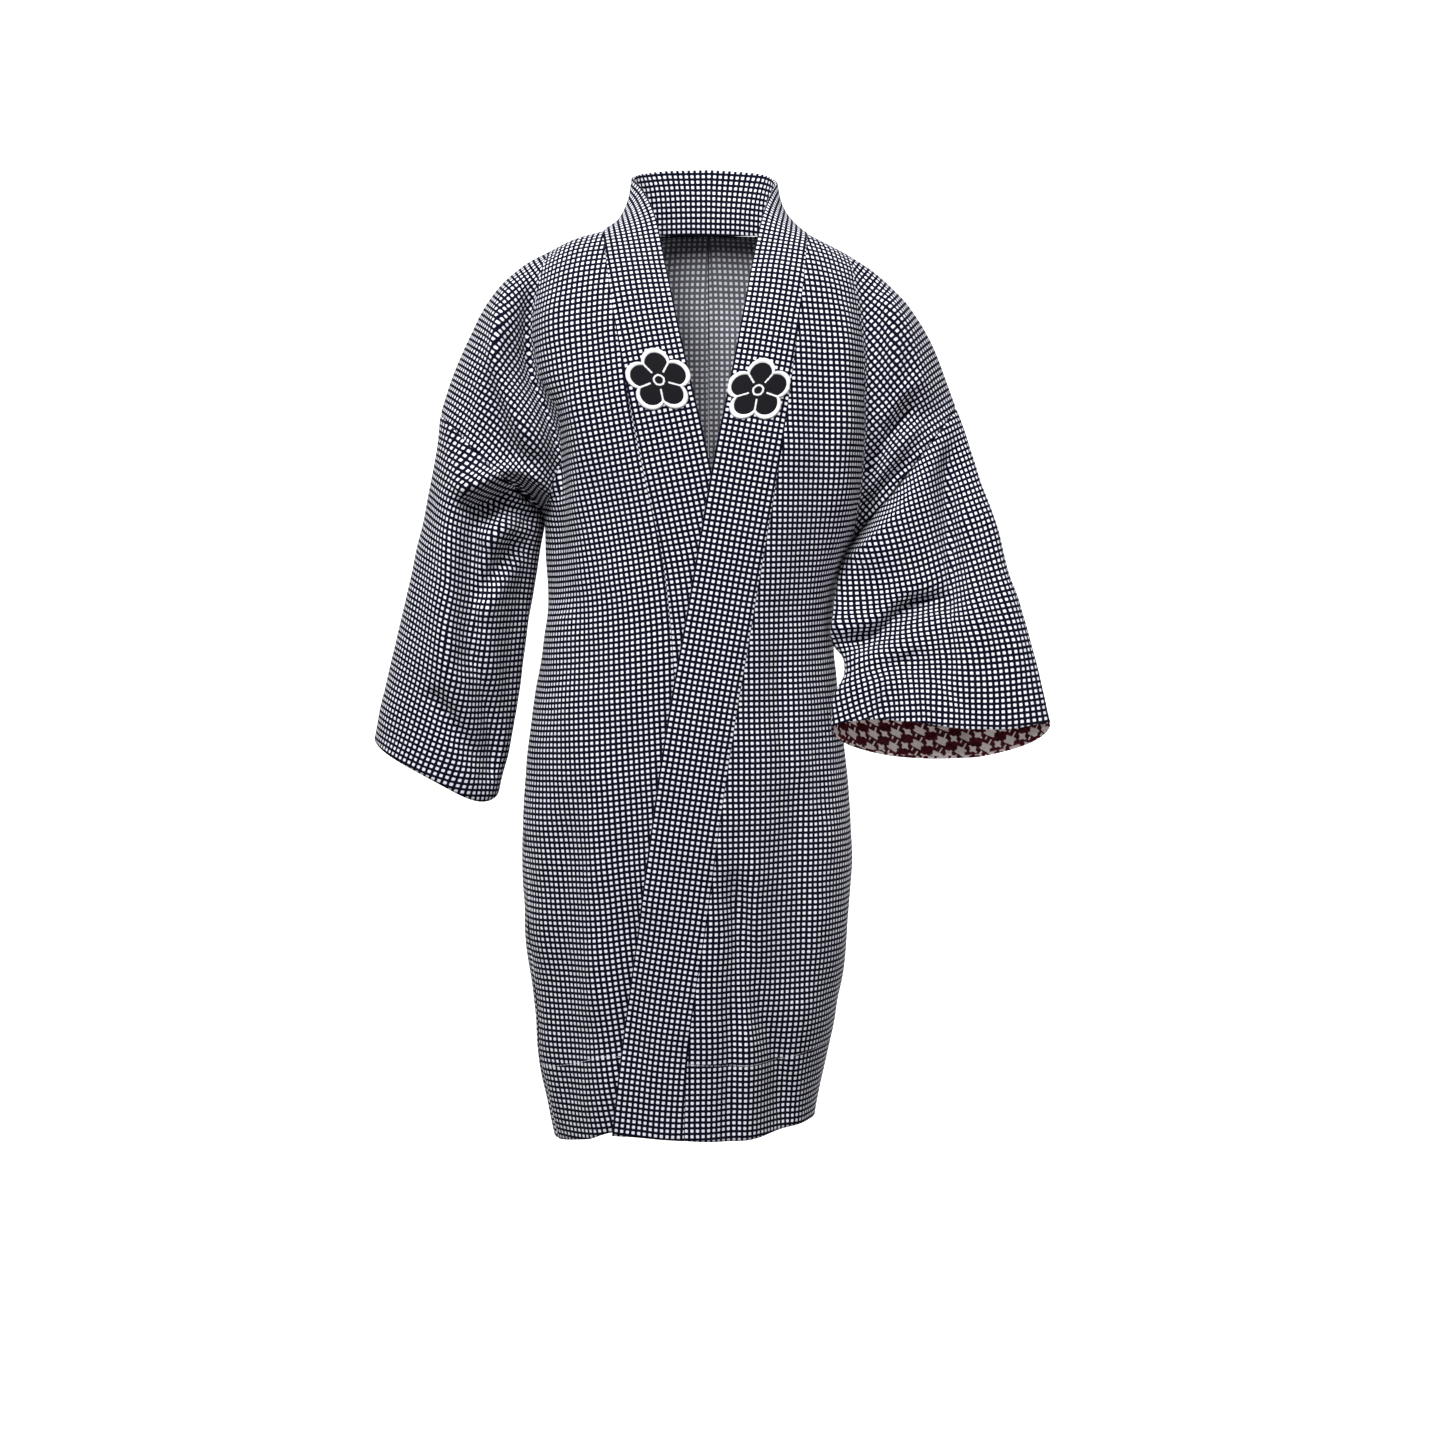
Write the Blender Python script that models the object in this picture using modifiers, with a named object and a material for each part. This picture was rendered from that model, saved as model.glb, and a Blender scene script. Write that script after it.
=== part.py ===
"""A child's kimono coat of checked cotton, worn open, with the left front lapped over the right.

Metres, +Z up, and the front faces -Y. The origin is at the base of the neck, where the shoulders
carry the coat. Right and left are the wearer's, so the right half of the coat is at -X.
"""

import bmesh
import bpy
import numpy as np

CLOTH = 0.0018  # wall of a body panel and of a sleeve
DOUBLED = 0.0026  # wall of the collar, which is folded double
LINING = 0.0010
PATCH = 0.0014
SEAM_GAP = 0.0005
COLLAR_GAP = 0.0008  # between the collar and the fronts, whose walls lean together
HEM = -0.746
ROUNDNESS = 2.4  # exponent of the body's rings: 2 is an ellipse, more is boxier

# The left front over the right one
LAP_LIFT = 0.0050  # how far it stands off
LAP_RISE = 0.005  # how much higher its hem hangs at the free corner
LAP_SIDE = (0.050, 0.100)  # the lift ends between these x
LAP_TOP = (-0.190, -0.090)  # and between these heights
LAP_CORNER = (-0.080, 0.040)  # the rise ends between these x
LAP_FOOT = (HEM, -0.600)  # and between these heights

RIGHT, LEFT = -1, 1

# Faces of each grid
SKIRT_ROWS, CHEST_ROWS = 20, 13
NECK_COLUMNS, SHOULDER_COLUMNS = 7, 12
SLEEVE_ROWS, SLEEVE_COLUMNS = 20, 2 * CHEST_ROWS
COLLAR_COLUMNS = 4
LINING_ROWS = 5
PATCH_RINGS, PATCH_SECTORS = 3, 40

# Rings of a sleeve as shares of its length: the first keeps a gap to the armhole
SLEEVE_SHARES = np.linspace(0.006, 1, SLEEVE_ROWS + 1)
LINING_SETBACK = 0.01


def table(columns, *rows):
    """Named columns, each an array that holds one value for each row."""
    return dict(zip(columns.split(), np.array(rows, float).T))


# Rings of the body below the armpits: the centre back line, the two side lines, and the depths
BODY = table(
    "height  centre  right   left   front  back",
    (-0.760, -0.022, -0.132, 0.088, 0.098, 0.112),
    (-0.700, -0.021, -0.141, 0.098, 0.099, 0.112),
    (-0.650, -0.019, -0.146, 0.108, 0.100, 0.111),
    (-0.560, -0.018, -0.155, 0.119, 0.101, 0.108),
    (-0.490, -0.017, -0.156, 0.120, 0.102, 0.105),
    (-0.400, -0.014, -0.147, 0.111, 0.101, 0.098),
    (-0.340, -0.009, -0.137, 0.105, 0.099, 0.094),
    (-0.300, -0.004, -0.134, 0.106, 0.098, 0.092),
    (-0.262, 0.000, -0.135, 0.116, 0.097, 0.091),
    (-0.235, 0.000, -0.136, 0.124, 0.097, 0.090),
)

# The collar's seams and edges on the fronts: the right edge runs on under the left front
FRONTS = table(
    "height  right_seam right_edge left_edge left_seam",
    (-0.760, -0.017, 0.038, -0.080, -0.021),
    (-0.670, -0.017, 0.038, -0.070, -0.017),
    (-0.550, -0.019, 0.036, -0.054, 0.000),
    (-0.490, -0.021, 0.034, -0.046, 0.008),
    (-0.410, -0.024, 0.031, -0.034, 0.020),
    (-0.280, -0.034, 0.018, -0.011, 0.042),
    (-0.262, -0.037, 0.015, -0.008, 0.045),
    (-0.235, -0.043, 0.010, -0.004, 0.050),
)

# The shoulder line of each half, from the side of the neck out to the sleeve seam
SHOULDER_RIGHT = table(
    "share  x      z",
    (0.000, -0.086, 0.000),
    (0.130, -0.113, -0.008),
    (0.250, -0.136, -0.019),
    (0.390, -0.162, -0.036),
    (0.520, -0.181, -0.057),
    (0.700, -0.200, -0.090),
    (0.865, -0.213, -0.123),
    (1.000, -0.223, -0.151),
)
SHOULDER_LEFT = table(
    "share  x     z",
    (0.000, 0.082, -0.002),
    (0.120, 0.102, -0.012),
    (0.230, 0.120, -0.023),
    (0.370, 0.143, -0.039),
    (0.520, 0.165, -0.059),
    (0.700, 0.184, -0.090),
    (0.870, 0.199, -0.123),
    (1.000, 0.207, -0.146),
)

# Rings of each sleeve, from the armhole to the cuff: the ring's outer and inner point, where its
# middle lies in depth, half its depth, and how much lower its front is than its back
SLEEVE_RIGHT = table(
    "share  outer_x outer_z inner_x inner_z middle half_depth drop",
    (0.00, -0.223, -0.151, -0.136, -0.235, 0.000, 0.056, 0.000),
    (0.20, -0.231, -0.206, -0.141, -0.264, -0.002, 0.053, 0.001),
    (0.40, -0.242, -0.260, -0.147, -0.306, -0.005, 0.052, 0.002),
    (0.60, -0.255, -0.315, -0.154, -0.350, -0.007, 0.052, 0.004),
    (0.80, -0.268, -0.369, -0.162, -0.407, -0.007, 0.051, 0.006),
    (1.00, -0.280, -0.421, -0.174, -0.466, -0.005, 0.050, 0.008),
)
SLEEVE_LEFT = table(
    "share  outer_x outer_z inner_x inner_z middle half_depth drop",
    (0.00, 0.207, -0.146, 0.116, -0.262, 0.000, 0.038, 0.000),
    (0.17, 0.221, -0.189, 0.113, -0.286, -0.014, 0.036, 0.000),
    (0.34, 0.235, -0.234, 0.108, -0.313, -0.028, 0.033, -0.002),
    (0.52, 0.248, -0.282, 0.106, -0.339, -0.042, 0.030, -0.004),
    (0.67, 0.260, -0.322, 0.112, -0.357, -0.053, 0.028, -0.007),
    (0.82, 0.270, -0.360, 0.109, -0.381, -0.061, 0.026, -0.010),
    (1.00, 0.281, -0.405, 0.110, -0.409, -0.067, 0.023, -0.013),
)

# The collar's folded edge above the armpits: station 0 is level with the armpit, 1 is at the side
# of the neck and 2 is at the centre back. bow is how far the strip curves out between its edges
EDGE_RIGHT = table(
    "station x      y       z      bow",
    (0.000, 0.010, -0.097, -0.235, 0.001),
    (0.060, 0.003, -0.096, -0.199, 0.001),
    (0.240, -0.013, -0.090, -0.127, 0.002),
    (0.354, -0.021, -0.081, -0.092, 0.002),
    (0.595, -0.033, -0.056, -0.036, 0.002),
    (0.775, -0.042, -0.028, 0.006, 0.000),
    (1.000, -0.053, 0.004, 0.033, -0.003),
    (1.250, -0.063, 0.034, 0.048, -0.004),
    (1.500, -0.050, 0.056, 0.054, -0.003),
    (1.750, -0.027, 0.067, 0.057, -0.002),
    (2.000, 0.000, 0.071, 0.058, -0.002),
)
EDGE_LEFT = table(
    "station x     y       z      bow",
    (0.000, -0.008, -0.097, -0.262, 0.001),
    (0.109, 0.003, -0.096, -0.199, 0.001),
    (0.284, 0.017, -0.089, -0.130, 0.002),
    (0.454, 0.027, -0.076, -0.078, 0.002),
    (0.674, 0.036, -0.052, -0.030, 0.002),
    (0.800, 0.043, -0.028, 0.004, 0.000),
    (1.000, 0.051, 0.002, 0.028, -0.003),
    (1.250, 0.057, 0.032, 0.043, -0.004),
    (1.500, 0.048, 0.055, 0.052, -0.003),
    (1.750, 0.027, 0.067, 0.056, -0.002),
    (2.000, 0.000, 0.071, 0.058, -0.002),
)
NECK_DEPTH, NECK_RISE = 0.063, 0.002  # back of the neckline, behind and above the origin

SIDES = {
    RIGHT: dict(
        word="right",
        foot=-0.235,
        armhole=0.056,
        shoulder=SHOULDER_RIGHT,
        sleeve=SLEEVE_RIGHT,
        edge=EDGE_RIGHT,
    ),
    LEFT: dict(
        word="left",
        foot=-0.262,
        armhole=0.038,
        shoulder=SHOULDER_LEFT,
        sleeve=SLEEVE_LEFT,
        edge=EDGE_LEFT,
    ),
}

FRONT, BACK = -1, 1

# Columns of the chest and the upper back, as quarter ovals
FULLNESS = {FRONT: 2.6, BACK: 1.3}  # how late the cloth swells out towards the armhole
NECK_POWER, ARMHOLE_POWER = 0.8, 2.0  # 1 is an oval and 2 is straight
NECK_BOW = 0.28  # how far a column leans out beside the neck
BLADES = 0.008  # how far the shoulder blades fill out the upper back
SIDE_TURN = 0.030  # depth over which a fold fades out round the side
SLEEVE_BLEND = 0.12  # share of a sleeve over which the body's folds give way to its own
COLLAR_SETTLE = 0.25  # share of the upper collar over which it leaves the body's ring


def fold(face, depth, width, *path):
    """A trough, or a ridge where depth is negative, along a path of (x, z) points."""
    return dict(face=face, depth=depth, width=width, path=np.array(path))


BODY_FOLDS = [
    # right chest, where the cloth tucks in beside the arm
    fold(FRONT, 0.015, 0.013, (-0.132, -0.010), (-0.146, -0.070), (-0.141, -0.128),
         (-0.126, -0.165), (-0.123, -0.235), (-0.124, -0.320)),
    fold(FRONT, -0.005, 0.012, (-0.104, -0.100), (-0.105, -0.194), (-0.106, -0.300)),
    fold(FRONT, -0.009, 0.016, (-0.164, -0.030), (-0.180, -0.090), (-0.196, -0.170)),
    # left chest
    fold(FRONT, 0.015, 0.013, (0.122, -0.010), (0.135, -0.075), (0.138, -0.141),
         (0.134, -0.200), (0.124, -0.262), (0.108, -0.320)),
    fold(FRONT, -0.005, 0.012, (0.108, -0.060), (0.112, -0.141), (0.108, -0.240)),
    fold(FRONT, -0.009, 0.016, (0.158, -0.040), (0.176, -0.095), (0.182, -0.150)),
    # skirt
    fold(FRONT, 0.004, 0.012, (0.055, -0.300), (0.060, -0.400), (0.064, -0.480)),
    fold(FRONT, 0.006, 0.012, (0.026, -0.480), (0.021, -0.620), (0.018, -0.830)),
    fold(FRONT, 0.011, 0.018, (0.061, -0.450), (0.058, -0.620), (0.055, -0.860)),
    fold(FRONT, 0.010, 0.016, (-0.112, -0.450), (-0.116, -0.600), (-0.112, -0.800)),
    fold(FRONT, 0.005, 0.014, (-0.062, -0.400), (-0.066, -0.560), (-0.058, -0.760)),
    # back, of the same kinds
    fold(BACK, 0.013, 0.014, (-0.128, -0.030), (-0.140, -0.100), (-0.126, -0.190),
         (-0.122, -0.320)),
    fold(BACK, 0.013, 0.014, (0.122, -0.030), (0.132, -0.100), (0.120, -0.200),
         (0.106, -0.330)),
    fold(BACK, 0.012, 0.018, (-0.092, -0.280), (-0.104, -0.520), (-0.098, -0.860)),
    fold(BACK, 0.007, 0.012, (-0.050, -0.400), (-0.058, -0.600), (-0.056, -0.860)),
    fold(BACK, 0.008, 0.014, (0.030, -0.340), (0.022, -0.560), (0.020, -0.860)),
    fold(BACK, 0.011, 0.017, (0.076, -0.300), (0.068, -0.540), (0.056, -0.860)),
]
SLEEVE_FOLDS = {
    RIGHT: [
        fold(FRONT, -0.007, 0.014, (-0.190, -0.120), (-0.205, -0.190), (-0.215, -0.240),
             (-0.216, -0.310), (-0.210, -0.410)),
        fold(FRONT, 0.009, 0.011, (-0.192, -0.220), (-0.196, -0.292), (-0.199, -0.370)),
        fold(FRONT, -0.008, 0.011, (-0.204, -0.219), (-0.178, -0.206), (-0.158, -0.204),
             (-0.134, -0.222)),
        fold(FRONT, 0.009, 0.010, (-0.190, -0.232), (-0.166, -0.224), (-0.142, -0.238)),
        fold(FRONT, -0.005, 0.009, (-0.184, -0.262), (-0.166, -0.248), (-0.148, -0.252)),
        fold(FRONT, 0.006, 0.008, (-0.189, -0.310), (-0.170, -0.274), (-0.148, -0.246)),
        fold(FRONT, 0.007, 0.010, (-0.200, -0.340), (-0.187, -0.385), (-0.180, -0.460)),
        fold(FRONT, 0.005, 0.009, (-0.228, -0.375), (-0.210, -0.408), (-0.190, -0.440)),
        fold(BACK, 0.010, 0.013, (-0.180, -0.180), (-0.194, -0.270), (-0.200, -0.370)),
        fold(BACK, 0.007, 0.012, (-0.215, -0.270), (-0.228, -0.350), (-0.240, -0.450)),
    ],
    LEFT: [
        fold(FRONT, 0.010, 0.010, (0.172, -0.140), (0.152, -0.176), (0.124, -0.214)),
        fold(FRONT, -0.006, 0.009, (0.176, -0.164), (0.156, -0.196), (0.132, -0.226)),
        fold(FRONT, 0.007, 0.009, (0.172, -0.186), (0.150, -0.214), (0.126, -0.244)),
        fold(FRONT, 0.007, 0.010, (0.195, -0.155), (0.199, -0.230), (0.201, -0.295),
             (0.190, -0.380)),
        fold(FRONT, -0.006, 0.011, (0.205, -0.200), (0.216, -0.270), (0.224, -0.350)),
        fold(FRONT, -0.006, 0.010, (0.106, -0.326), (0.140, -0.316), (0.160, -0.296),
             (0.194, -0.290)),
        fold(FRONT, 0.010, 0.009, (0.100, -0.342), (0.138, -0.335), (0.160, -0.314),
             (0.202, -0.305)),
        fold(FRONT, 0.006, 0.008, (0.126, -0.362), (0.157, -0.354), (0.178, -0.345)),
        fold(FRONT, 0.006, 0.010, (0.162, -0.345), (0.149, -0.385), (0.142, -0.450)),
        fold(FRONT, 0.006, 0.010, (0.166, -0.342), (0.177, -0.385), (0.185, -0.450)),
        fold(FRONT, 0.006, 0.013, (0.172, -0.338), (0.207, -0.375), (0.244, -0.450)),
        fold(BACK, 0.009, 0.013, (0.170, -0.170), (0.178, -0.270), (0.170, -0.370)),
        fold(BACK, 0.007, 0.013, (0.205, -0.260), (0.218, -0.350), (0.224, -0.480)),
    ],
}


def smooth(where, knots, values):
    """A cubic through the knots, whose slope at each knot comes from the knots beside it."""
    slopes = np.gradient(values, knots)
    low = np.clip(np.searchsorted(knots, where) - 1, 0, len(knots) - 2)
    step = knots[low + 1] - knots[low]
    t = (where - knots[low]) / step
    return (
        values[low] * (1 + 2 * t) * (1 - t) ** 2
        + values[low + 1] * (3 - 2 * t) * t**2
        + step * t * (1 - t) * (slopes[low] * (1 - t) - slopes[low + 1] * t)
    )


def ramp(value, start, end):
    """0 before start and 1 after end, with a soft step between them."""
    t = np.clip((value - start) / (end - start), 0, 1)
    return t * t * (3 - 2 * t)


def signed_power(value, power):
    return np.sign(value) * np.abs(value) ** power


def folded(points, folds, forward):
    """The points moved in depth by the folds. forward is 1 on the front and -1 on the back."""
    flat = points.reshape(-1, 3)
    weight = np.broadcast_to(forward, points.shape[:-1]).reshape(-1)
    moved = flat.copy()
    for one in folds:
        starts, ends = one["path"][:-1], one["path"][1:]
        runs = ends - starts
        lengths = np.linalg.norm(runs, axis=1)
        before = np.concatenate([[0], np.cumsum(lengths)])
        offset = flat[:, None, [0, 2]] - starts
        along = np.clip((offset * runs).sum(2) / lengths**2, 0, 1)
        gap = np.linalg.norm(offset - along[..., None] * runs, axis=2)
        nearest = gap.argmin(1)
        pick = np.arange(len(flat)), nearest
        share = (before[nearest] + along[pick] * lengths[nearest]) / before[-1]
        profile = np.exp(-((gap[pick] / one["width"]) ** 2)) * (1 - (2 * share - 1) ** 4)
        facing = np.clip(-one["face"] * weight, 0, 1)
        moved[:, 1] -= one["face"] * one["depth"] * profile * facing
    return moved.reshape(points.shape)


def forward_of_body(points):
    return np.clip(-points[..., 1] / SIDE_TURN, -1, 1)


def lapped(points, side):
    """The left front lifts off the right one, which it covers from the crossing down."""
    if side == LEFT:
        x, y, z = np.moveaxis(points, -1, 0)
        lift = LAP_LIFT * (1 - ramp(x, *LAP_SIDE)) * (1 - ramp(z, *LAP_TOP))
        rise = LAP_RISE * (1 - ramp(x, *LAP_CORNER)) * (1 - ramp(z, *LAP_FOOT))
        move = np.stack([np.zeros_like(x), -lift, rise], -1)
        points = points + move * (y < 0)[..., None]
    return points


def body_depth(x, height, side):
    """Where the front of the body's ring lies in depth."""
    centre = smooth(height, BODY["height"], BODY["centre"])
    half_width = np.abs(smooth(height, BODY["height"], BODY[SIDES[side]["word"]]) - centre)
    front = smooth(height, BODY["height"], BODY["front"])
    share = np.clip(np.abs(x - centre) / half_width, 0, 1)
    return -front * (1 - share**ROUNDNESS) ** (1 / ROUNDNESS)


def body_rings(side, heights, columns_back, columns_front):
    """Rows of the skirt, each from the centre back round the side to the collar seam."""
    centre = smooth(heights, BODY["height"], BODY["centre"])[:, None]
    edge = smooth(heights, BODY["height"], BODY[SIDES[side]["word"]])[:, None]
    front = smooth(heights, BODY["height"], BODY["front"])[:, None]
    back = smooth(heights, BODY["height"], BODY["back"])[:, None]
    seam = smooth(heights, FRONTS["height"], FRONTS[SIDES[side]["word"] + "_seam"])[:, None]
    seam = seam + side * COLLAR_GAP / 2
    reach = signed_power((seam - centre) / (edge - centre), ROUNDNESS / 2)
    last = np.pi - np.arcsin(reach)
    to_side = np.linspace(0, np.pi / 2, columns_back + 1)[None, :]
    to_seam = np.pi / 2 + (last - np.pi / 2) * np.linspace(0, 1, columns_front + 1)[None, 1:]
    turn = np.concatenate([np.broadcast_to(to_side, (len(heights), columns_back + 1)), to_seam], 1)
    power = 2 / ROUNDNESS
    x = centre + (edge - centre) * signed_power(np.sin(turn), power)
    y = signed_power(np.cos(turn), power)
    y = np.where(y > 0, y * back, y * front)
    x[:, 0] += side * SEAM_GAP / 2
    return np.stack([x, y, np.broadcast_to(heights[:, None], x.shape)], -1)


def arch(foot, top, power, bow, bulge, face, turns):
    """Columns that rise from foot points to top points and end level, as a quarter of an oval."""
    phi = turns[:, None] * np.pi / 2
    rise = np.sin(phi) ** power
    run = np.cos(phi) ** power
    x = foot[:, 0] + (top[:, 0] - foot[:, 0]) * (rise + bow * rise * (1 - rise))
    y = top[:, 1] + (foot[:, 1] - top[:, 1]) * run + face * bulge * np.sin(2 * phi)
    z = foot[:, 2] + (top[:, 2] - foot[:, 2]) * rise
    return np.stack([x, y, z], -1)


def shoulder_line(side, shares):
    line = SIDES[side]["shoulder"]
    x = smooth(shares, line["share"], line["x"])
    z = smooth(shares, line["share"], line["z"])
    return np.stack([x, np.zeros_like(x), z], -1)


def neckline(side, shares):
    """From the side of the neck, at share 0, round to the centre back, at share 1."""
    start = shoulder_line(side, np.zeros(1))[0]
    turn = shares * np.pi / 2
    x = start[0] * np.cos(turn)
    z = start[2] + (NECK_RISE - start[2]) * np.sin(turn)
    return np.stack([x, NECK_DEPTH * np.sin(turn), z], -1)


def arch_shape(side, face, shares):
    """How boxy, bowed and full a chest column is: shares 0 at the neck, 1 at the armhole."""
    power = NECK_POWER + (ARMHOLE_POWER - NECK_POWER) * shares**3
    bow = NECK_BOW * (1 - shares)
    return power, bow, SIDES[side]["armhole"] * shares ** FULLNESS[face]


def chest_front(side, foot_row, turns):
    shares = np.linspace(1, 0, len(foot_row))
    power, bow, bulge = arch_shape(side, FRONT, shares)
    return arch(foot_row, shoulder_line(side, shares), power, bow, bulge, FRONT, turns)


def chest_back(side, foot_row, turns):
    shares = np.linspace(0, 1, SHOULDER_COLUMNS + 1)
    power, bow, bulge = arch_shape(side, BACK, shares)
    neck_shares = np.linspace(1, 0, NECK_COLUMNS + 1)[:-1]
    top = np.concatenate([neckline(side, neck_shares), shoulder_line(side, shares)])
    top[0, 0] += side * SEAM_GAP / 2
    blades = BLADES * np.linspace(1, 0, len(foot_row))
    lead = np.ones(NECK_COLUMNS)
    power = np.concatenate([lead * power[0], power])
    bow = np.concatenate([lead * 0, bow])
    bulge = np.concatenate([lead * 0, bulge]) + blades
    return arch(foot_row, top, power, bow, bulge, BACK, turns)


def body_grids(side):
    """The skirt, the chest and the upper back of one body panel, which share their edges."""
    data = SIDES[side]
    columns_back = NECK_COLUMNS + SHOULDER_COLUMNS
    heights = np.linspace(HEM, data["foot"], SKIRT_ROWS + 1)
    skirt = body_rings(side, heights, columns_back, SHOULDER_COLUMNS)
    turns = np.linspace(0, 1, CHEST_ROWS + 1)
    chest = chest_front(side, skirt[-1, columns_back:], turns)
    back = chest_back(side, skirt[-1, : columns_back + 1], turns)
    grids = [skirt, chest, back]
    return [lapped(folded(g, BODY_FOLDS, forward_of_body(g)), side) for g in grids]


def sleeve_grid(side, shares):
    """Rings of a sleeve. Each starts at the underarm and runs forward and over the arm."""
    rings = SIDES[side]["sleeve"]
    read = {key: smooth(shares, rings["share"], rings[key])[:, None] for key in rings}
    turn = np.linspace(0, 2 * np.pi, SLEEVE_COLUMNS + 1)[None, :]
    over = (1 - np.cos(turn)) / 2
    x = read["inner_x"] + (read["outer_x"] - read["inner_x"]) * over
    z = read["inner_z"] + (read["outer_z"] - read["inner_z"]) * over
    y = read["middle"] - read["half_depth"] * np.sin(turn)
    points = np.stack([x, y, z - read["drop"] * np.sin(turn)], -1)
    forward = np.clip(np.sin(turn) * 1.6, -1, 1)
    own = ramp(shares, 0, SLEEVE_BLEND)[:, None, None]
    on_sleeve = folded(points, SLEEVE_FOLDS[side], forward)
    at_seam = folded(points, BODY_FOLDS, forward_of_body(points))
    return at_seam + (on_sleeve - at_seam) * own


def normals(grid, closed=False):
    """Unit normals of a grid, from the lines between each point's neighbours."""
    if closed:
        padded = np.concatenate([grid[:, -2:-1], grid, grid[:, 1:2]], 1)
        across = np.gradient(padded, axis=1)[:, 1:-1]
    else:
        across = np.gradient(grid, axis=1)
    out = np.cross(across, np.gradient(grid, axis=0))
    return out / np.linalg.norm(out, axis=-1, keepdims=True)


def collar_front(side, heights, across):
    """The collar below the armpit, on the rings of the body. across is 0 at the seam."""
    word = SIDES[side]["word"]
    seam = smooth(heights, FRONTS["height"], FRONTS[word + "_seam"]) - side * COLLAR_GAP / 2
    edge = smooth(heights, FRONTS["height"], FRONTS[word + "_edge"])
    x = seam[:, None] + (edge - seam)[:, None] * across
    z = np.broadcast_to(heights[:, None], x.shape)
    y = body_depth(x, z, side)
    return np.stack([x, y, z], -1)


def collar_above(side, stations, across):
    """The collar from the armpit's height, up the chest and round the neck to the centre back."""
    data = SIDES[side]
    word = data["word"]
    x = smooth(np.array([data["foot"]]), FRONTS["height"], FRONTS[word + "_seam"])
    foot = np.stack([x, body_depth(x, data["foot"], side), [data["foot"]]], -1)
    power, bow, bulge = arch_shape(side, FRONT, np.zeros(1))
    top = shoulder_line(side, np.zeros(1))
    up_chest = arch(foot, top, power, bow, bulge, FRONT, np.minimum(stations, 1))[:, 0]
    round_neck = neckline(side, np.clip(stations - 1, 0, 1))
    seam = np.where(stations[:, None] < 1, up_chest, round_neck)
    line = data["edge"]
    edge = np.stack([smooth(stations, line["station"], line[key]) for key in "xyz"], -1)
    width = edge - seam
    seam = seam + width / np.linalg.norm(width, axis=1, keepdims=True) * COLLAR_GAP
    grid = seam[:, None] + (edge - seam)[:, None] * across[:, None]
    swell = smooth(stations, line["station"], line["bow"])[:, None] * np.sin(np.pi * across)
    return grid + (normals(grid) * -side) * swell[..., None]


def collar_half(side, across):
    """One half of the collar, from its hem up to the centre back."""
    data = SIDES[side]
    heights = np.linspace(HEM, data["foot"], SKIRT_ROWS + 1)
    chest = np.linspace(0, 1, CHEST_ROWS + 1)[1:]
    neck = np.linspace(1, 2, NECK_COLUMNS + 1)[1:]
    above = collar_above(side, np.concatenate([[0.0], chest, neck]), across)
    front = collar_front(side, heights, across)
    settle = 1 - ramp(np.linspace(0, 1, len(above)), 0, COLLAR_SETTLE)
    above = above + settle[:, None, None] * (front[-1] - above[0])
    grid = np.concatenate([front, above[1:]])
    return lapped(folded(grid, BODY_FOLDS, forward_of_body(grid)), side)


def collar_grid():
    """The whole strip, from the right hem round the neck to the left hem."""
    across = np.linspace(0, 1, COLLAR_COLUMNS + 1)
    right = collar_half(RIGHT, across)
    left = collar_half(LEFT, across)
    middle = (right[-1:] + left[-1:]) / 2
    return np.concatenate([right[:-1], middle, left[-2::-1]])


PATCH_SIZE = 0.027
PATCH_STATIONS = {RIGHT: 0.243, LEFT: 0.300}
PETALS, PETAL_DIP, PETAL_POWER = 5, 0.30, 0.75
GROUND = 32  # faces each way on the stretch of collar under a patch
GROUND_REACH = 0.10  # stations up and down from the patch's middle


def blossom_radius(turn):
    """The outline of a blossom with round petals."""
    petals = np.abs(np.cos(PETALS / 2 * turn)) ** PETAL_POWER
    return PATCH_SIZE * (1 - PETAL_DIP + PETAL_DIP * petals)


def patch_grid(side):
    """A blossom laid on the collar: rings of points round its middle, moved out."""
    across = np.linspace(0, 1, GROUND + 1)
    stations = PATCH_STATIONS[side] + GROUND_REACH * np.linspace(-1, 1, GROUND + 1)
    ground = collar_above(side, stations, across)
    ground = lapped(folded(ground, BODY_FOLDS, forward_of_body(ground)), side)
    raised = ground + normals(ground) * -side * (SEAM_GAP + PATCH)
    middle = GROUND // 2
    steps = np.linalg.norm(np.diff(ground[:, middle], axis=0), axis=1)
    along = np.concatenate([[0], np.cumsum(steps)])
    along = along - along[middle]
    width = np.linalg.norm(ground[middle, -1] - ground[middle, 0])
    shares = np.linspace(0, 1, PATCH_RINGS + 1)[1:, None]
    turn = np.linspace(0, 2 * np.pi, PATCH_SECTORS, endpoint=False)
    radius = blossom_radius(turn) * shares
    up = np.concatenate([[0], (radius * np.cos(turn)).ravel()])
    out = np.concatenate([[0], (radius * np.sin(turn)).ravel()])
    rows = np.interp(up, along, np.arange(GROUND + 1))
    columns = np.clip(0.5 + out / width, 0, 1) * GROUND
    row = np.minimum(rows.astype(int), GROUND - 1)
    column = np.minimum(columns.astype(int), GROUND - 1)
    u, v = (rows - row)[:, None], (columns - column)[:, None]
    below = raised[row, column] * (1 - v) + raised[row, column + 1] * v
    above = raised[row + 1, column] * (1 - v) + raised[row + 1, column + 1] * v
    return below * (1 - u) + above * u


def clear_scene():
    for obj in list(bpy.data.objects):
        bpy.data.objects.remove(obj, do_unlink=True)


def material(name, color, roughness):
    made = bpy.data.materials.new(name)
    made.use_nodes = True
    shader = made.node_tree.nodes["Principled BSDF"]
    shader.inputs["Base Color"].default_value = (*color, 1)
    shader.inputs["Roughness"].default_value = roughness
    shader.inputs["Metallic"].default_value = 0
    return made


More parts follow.
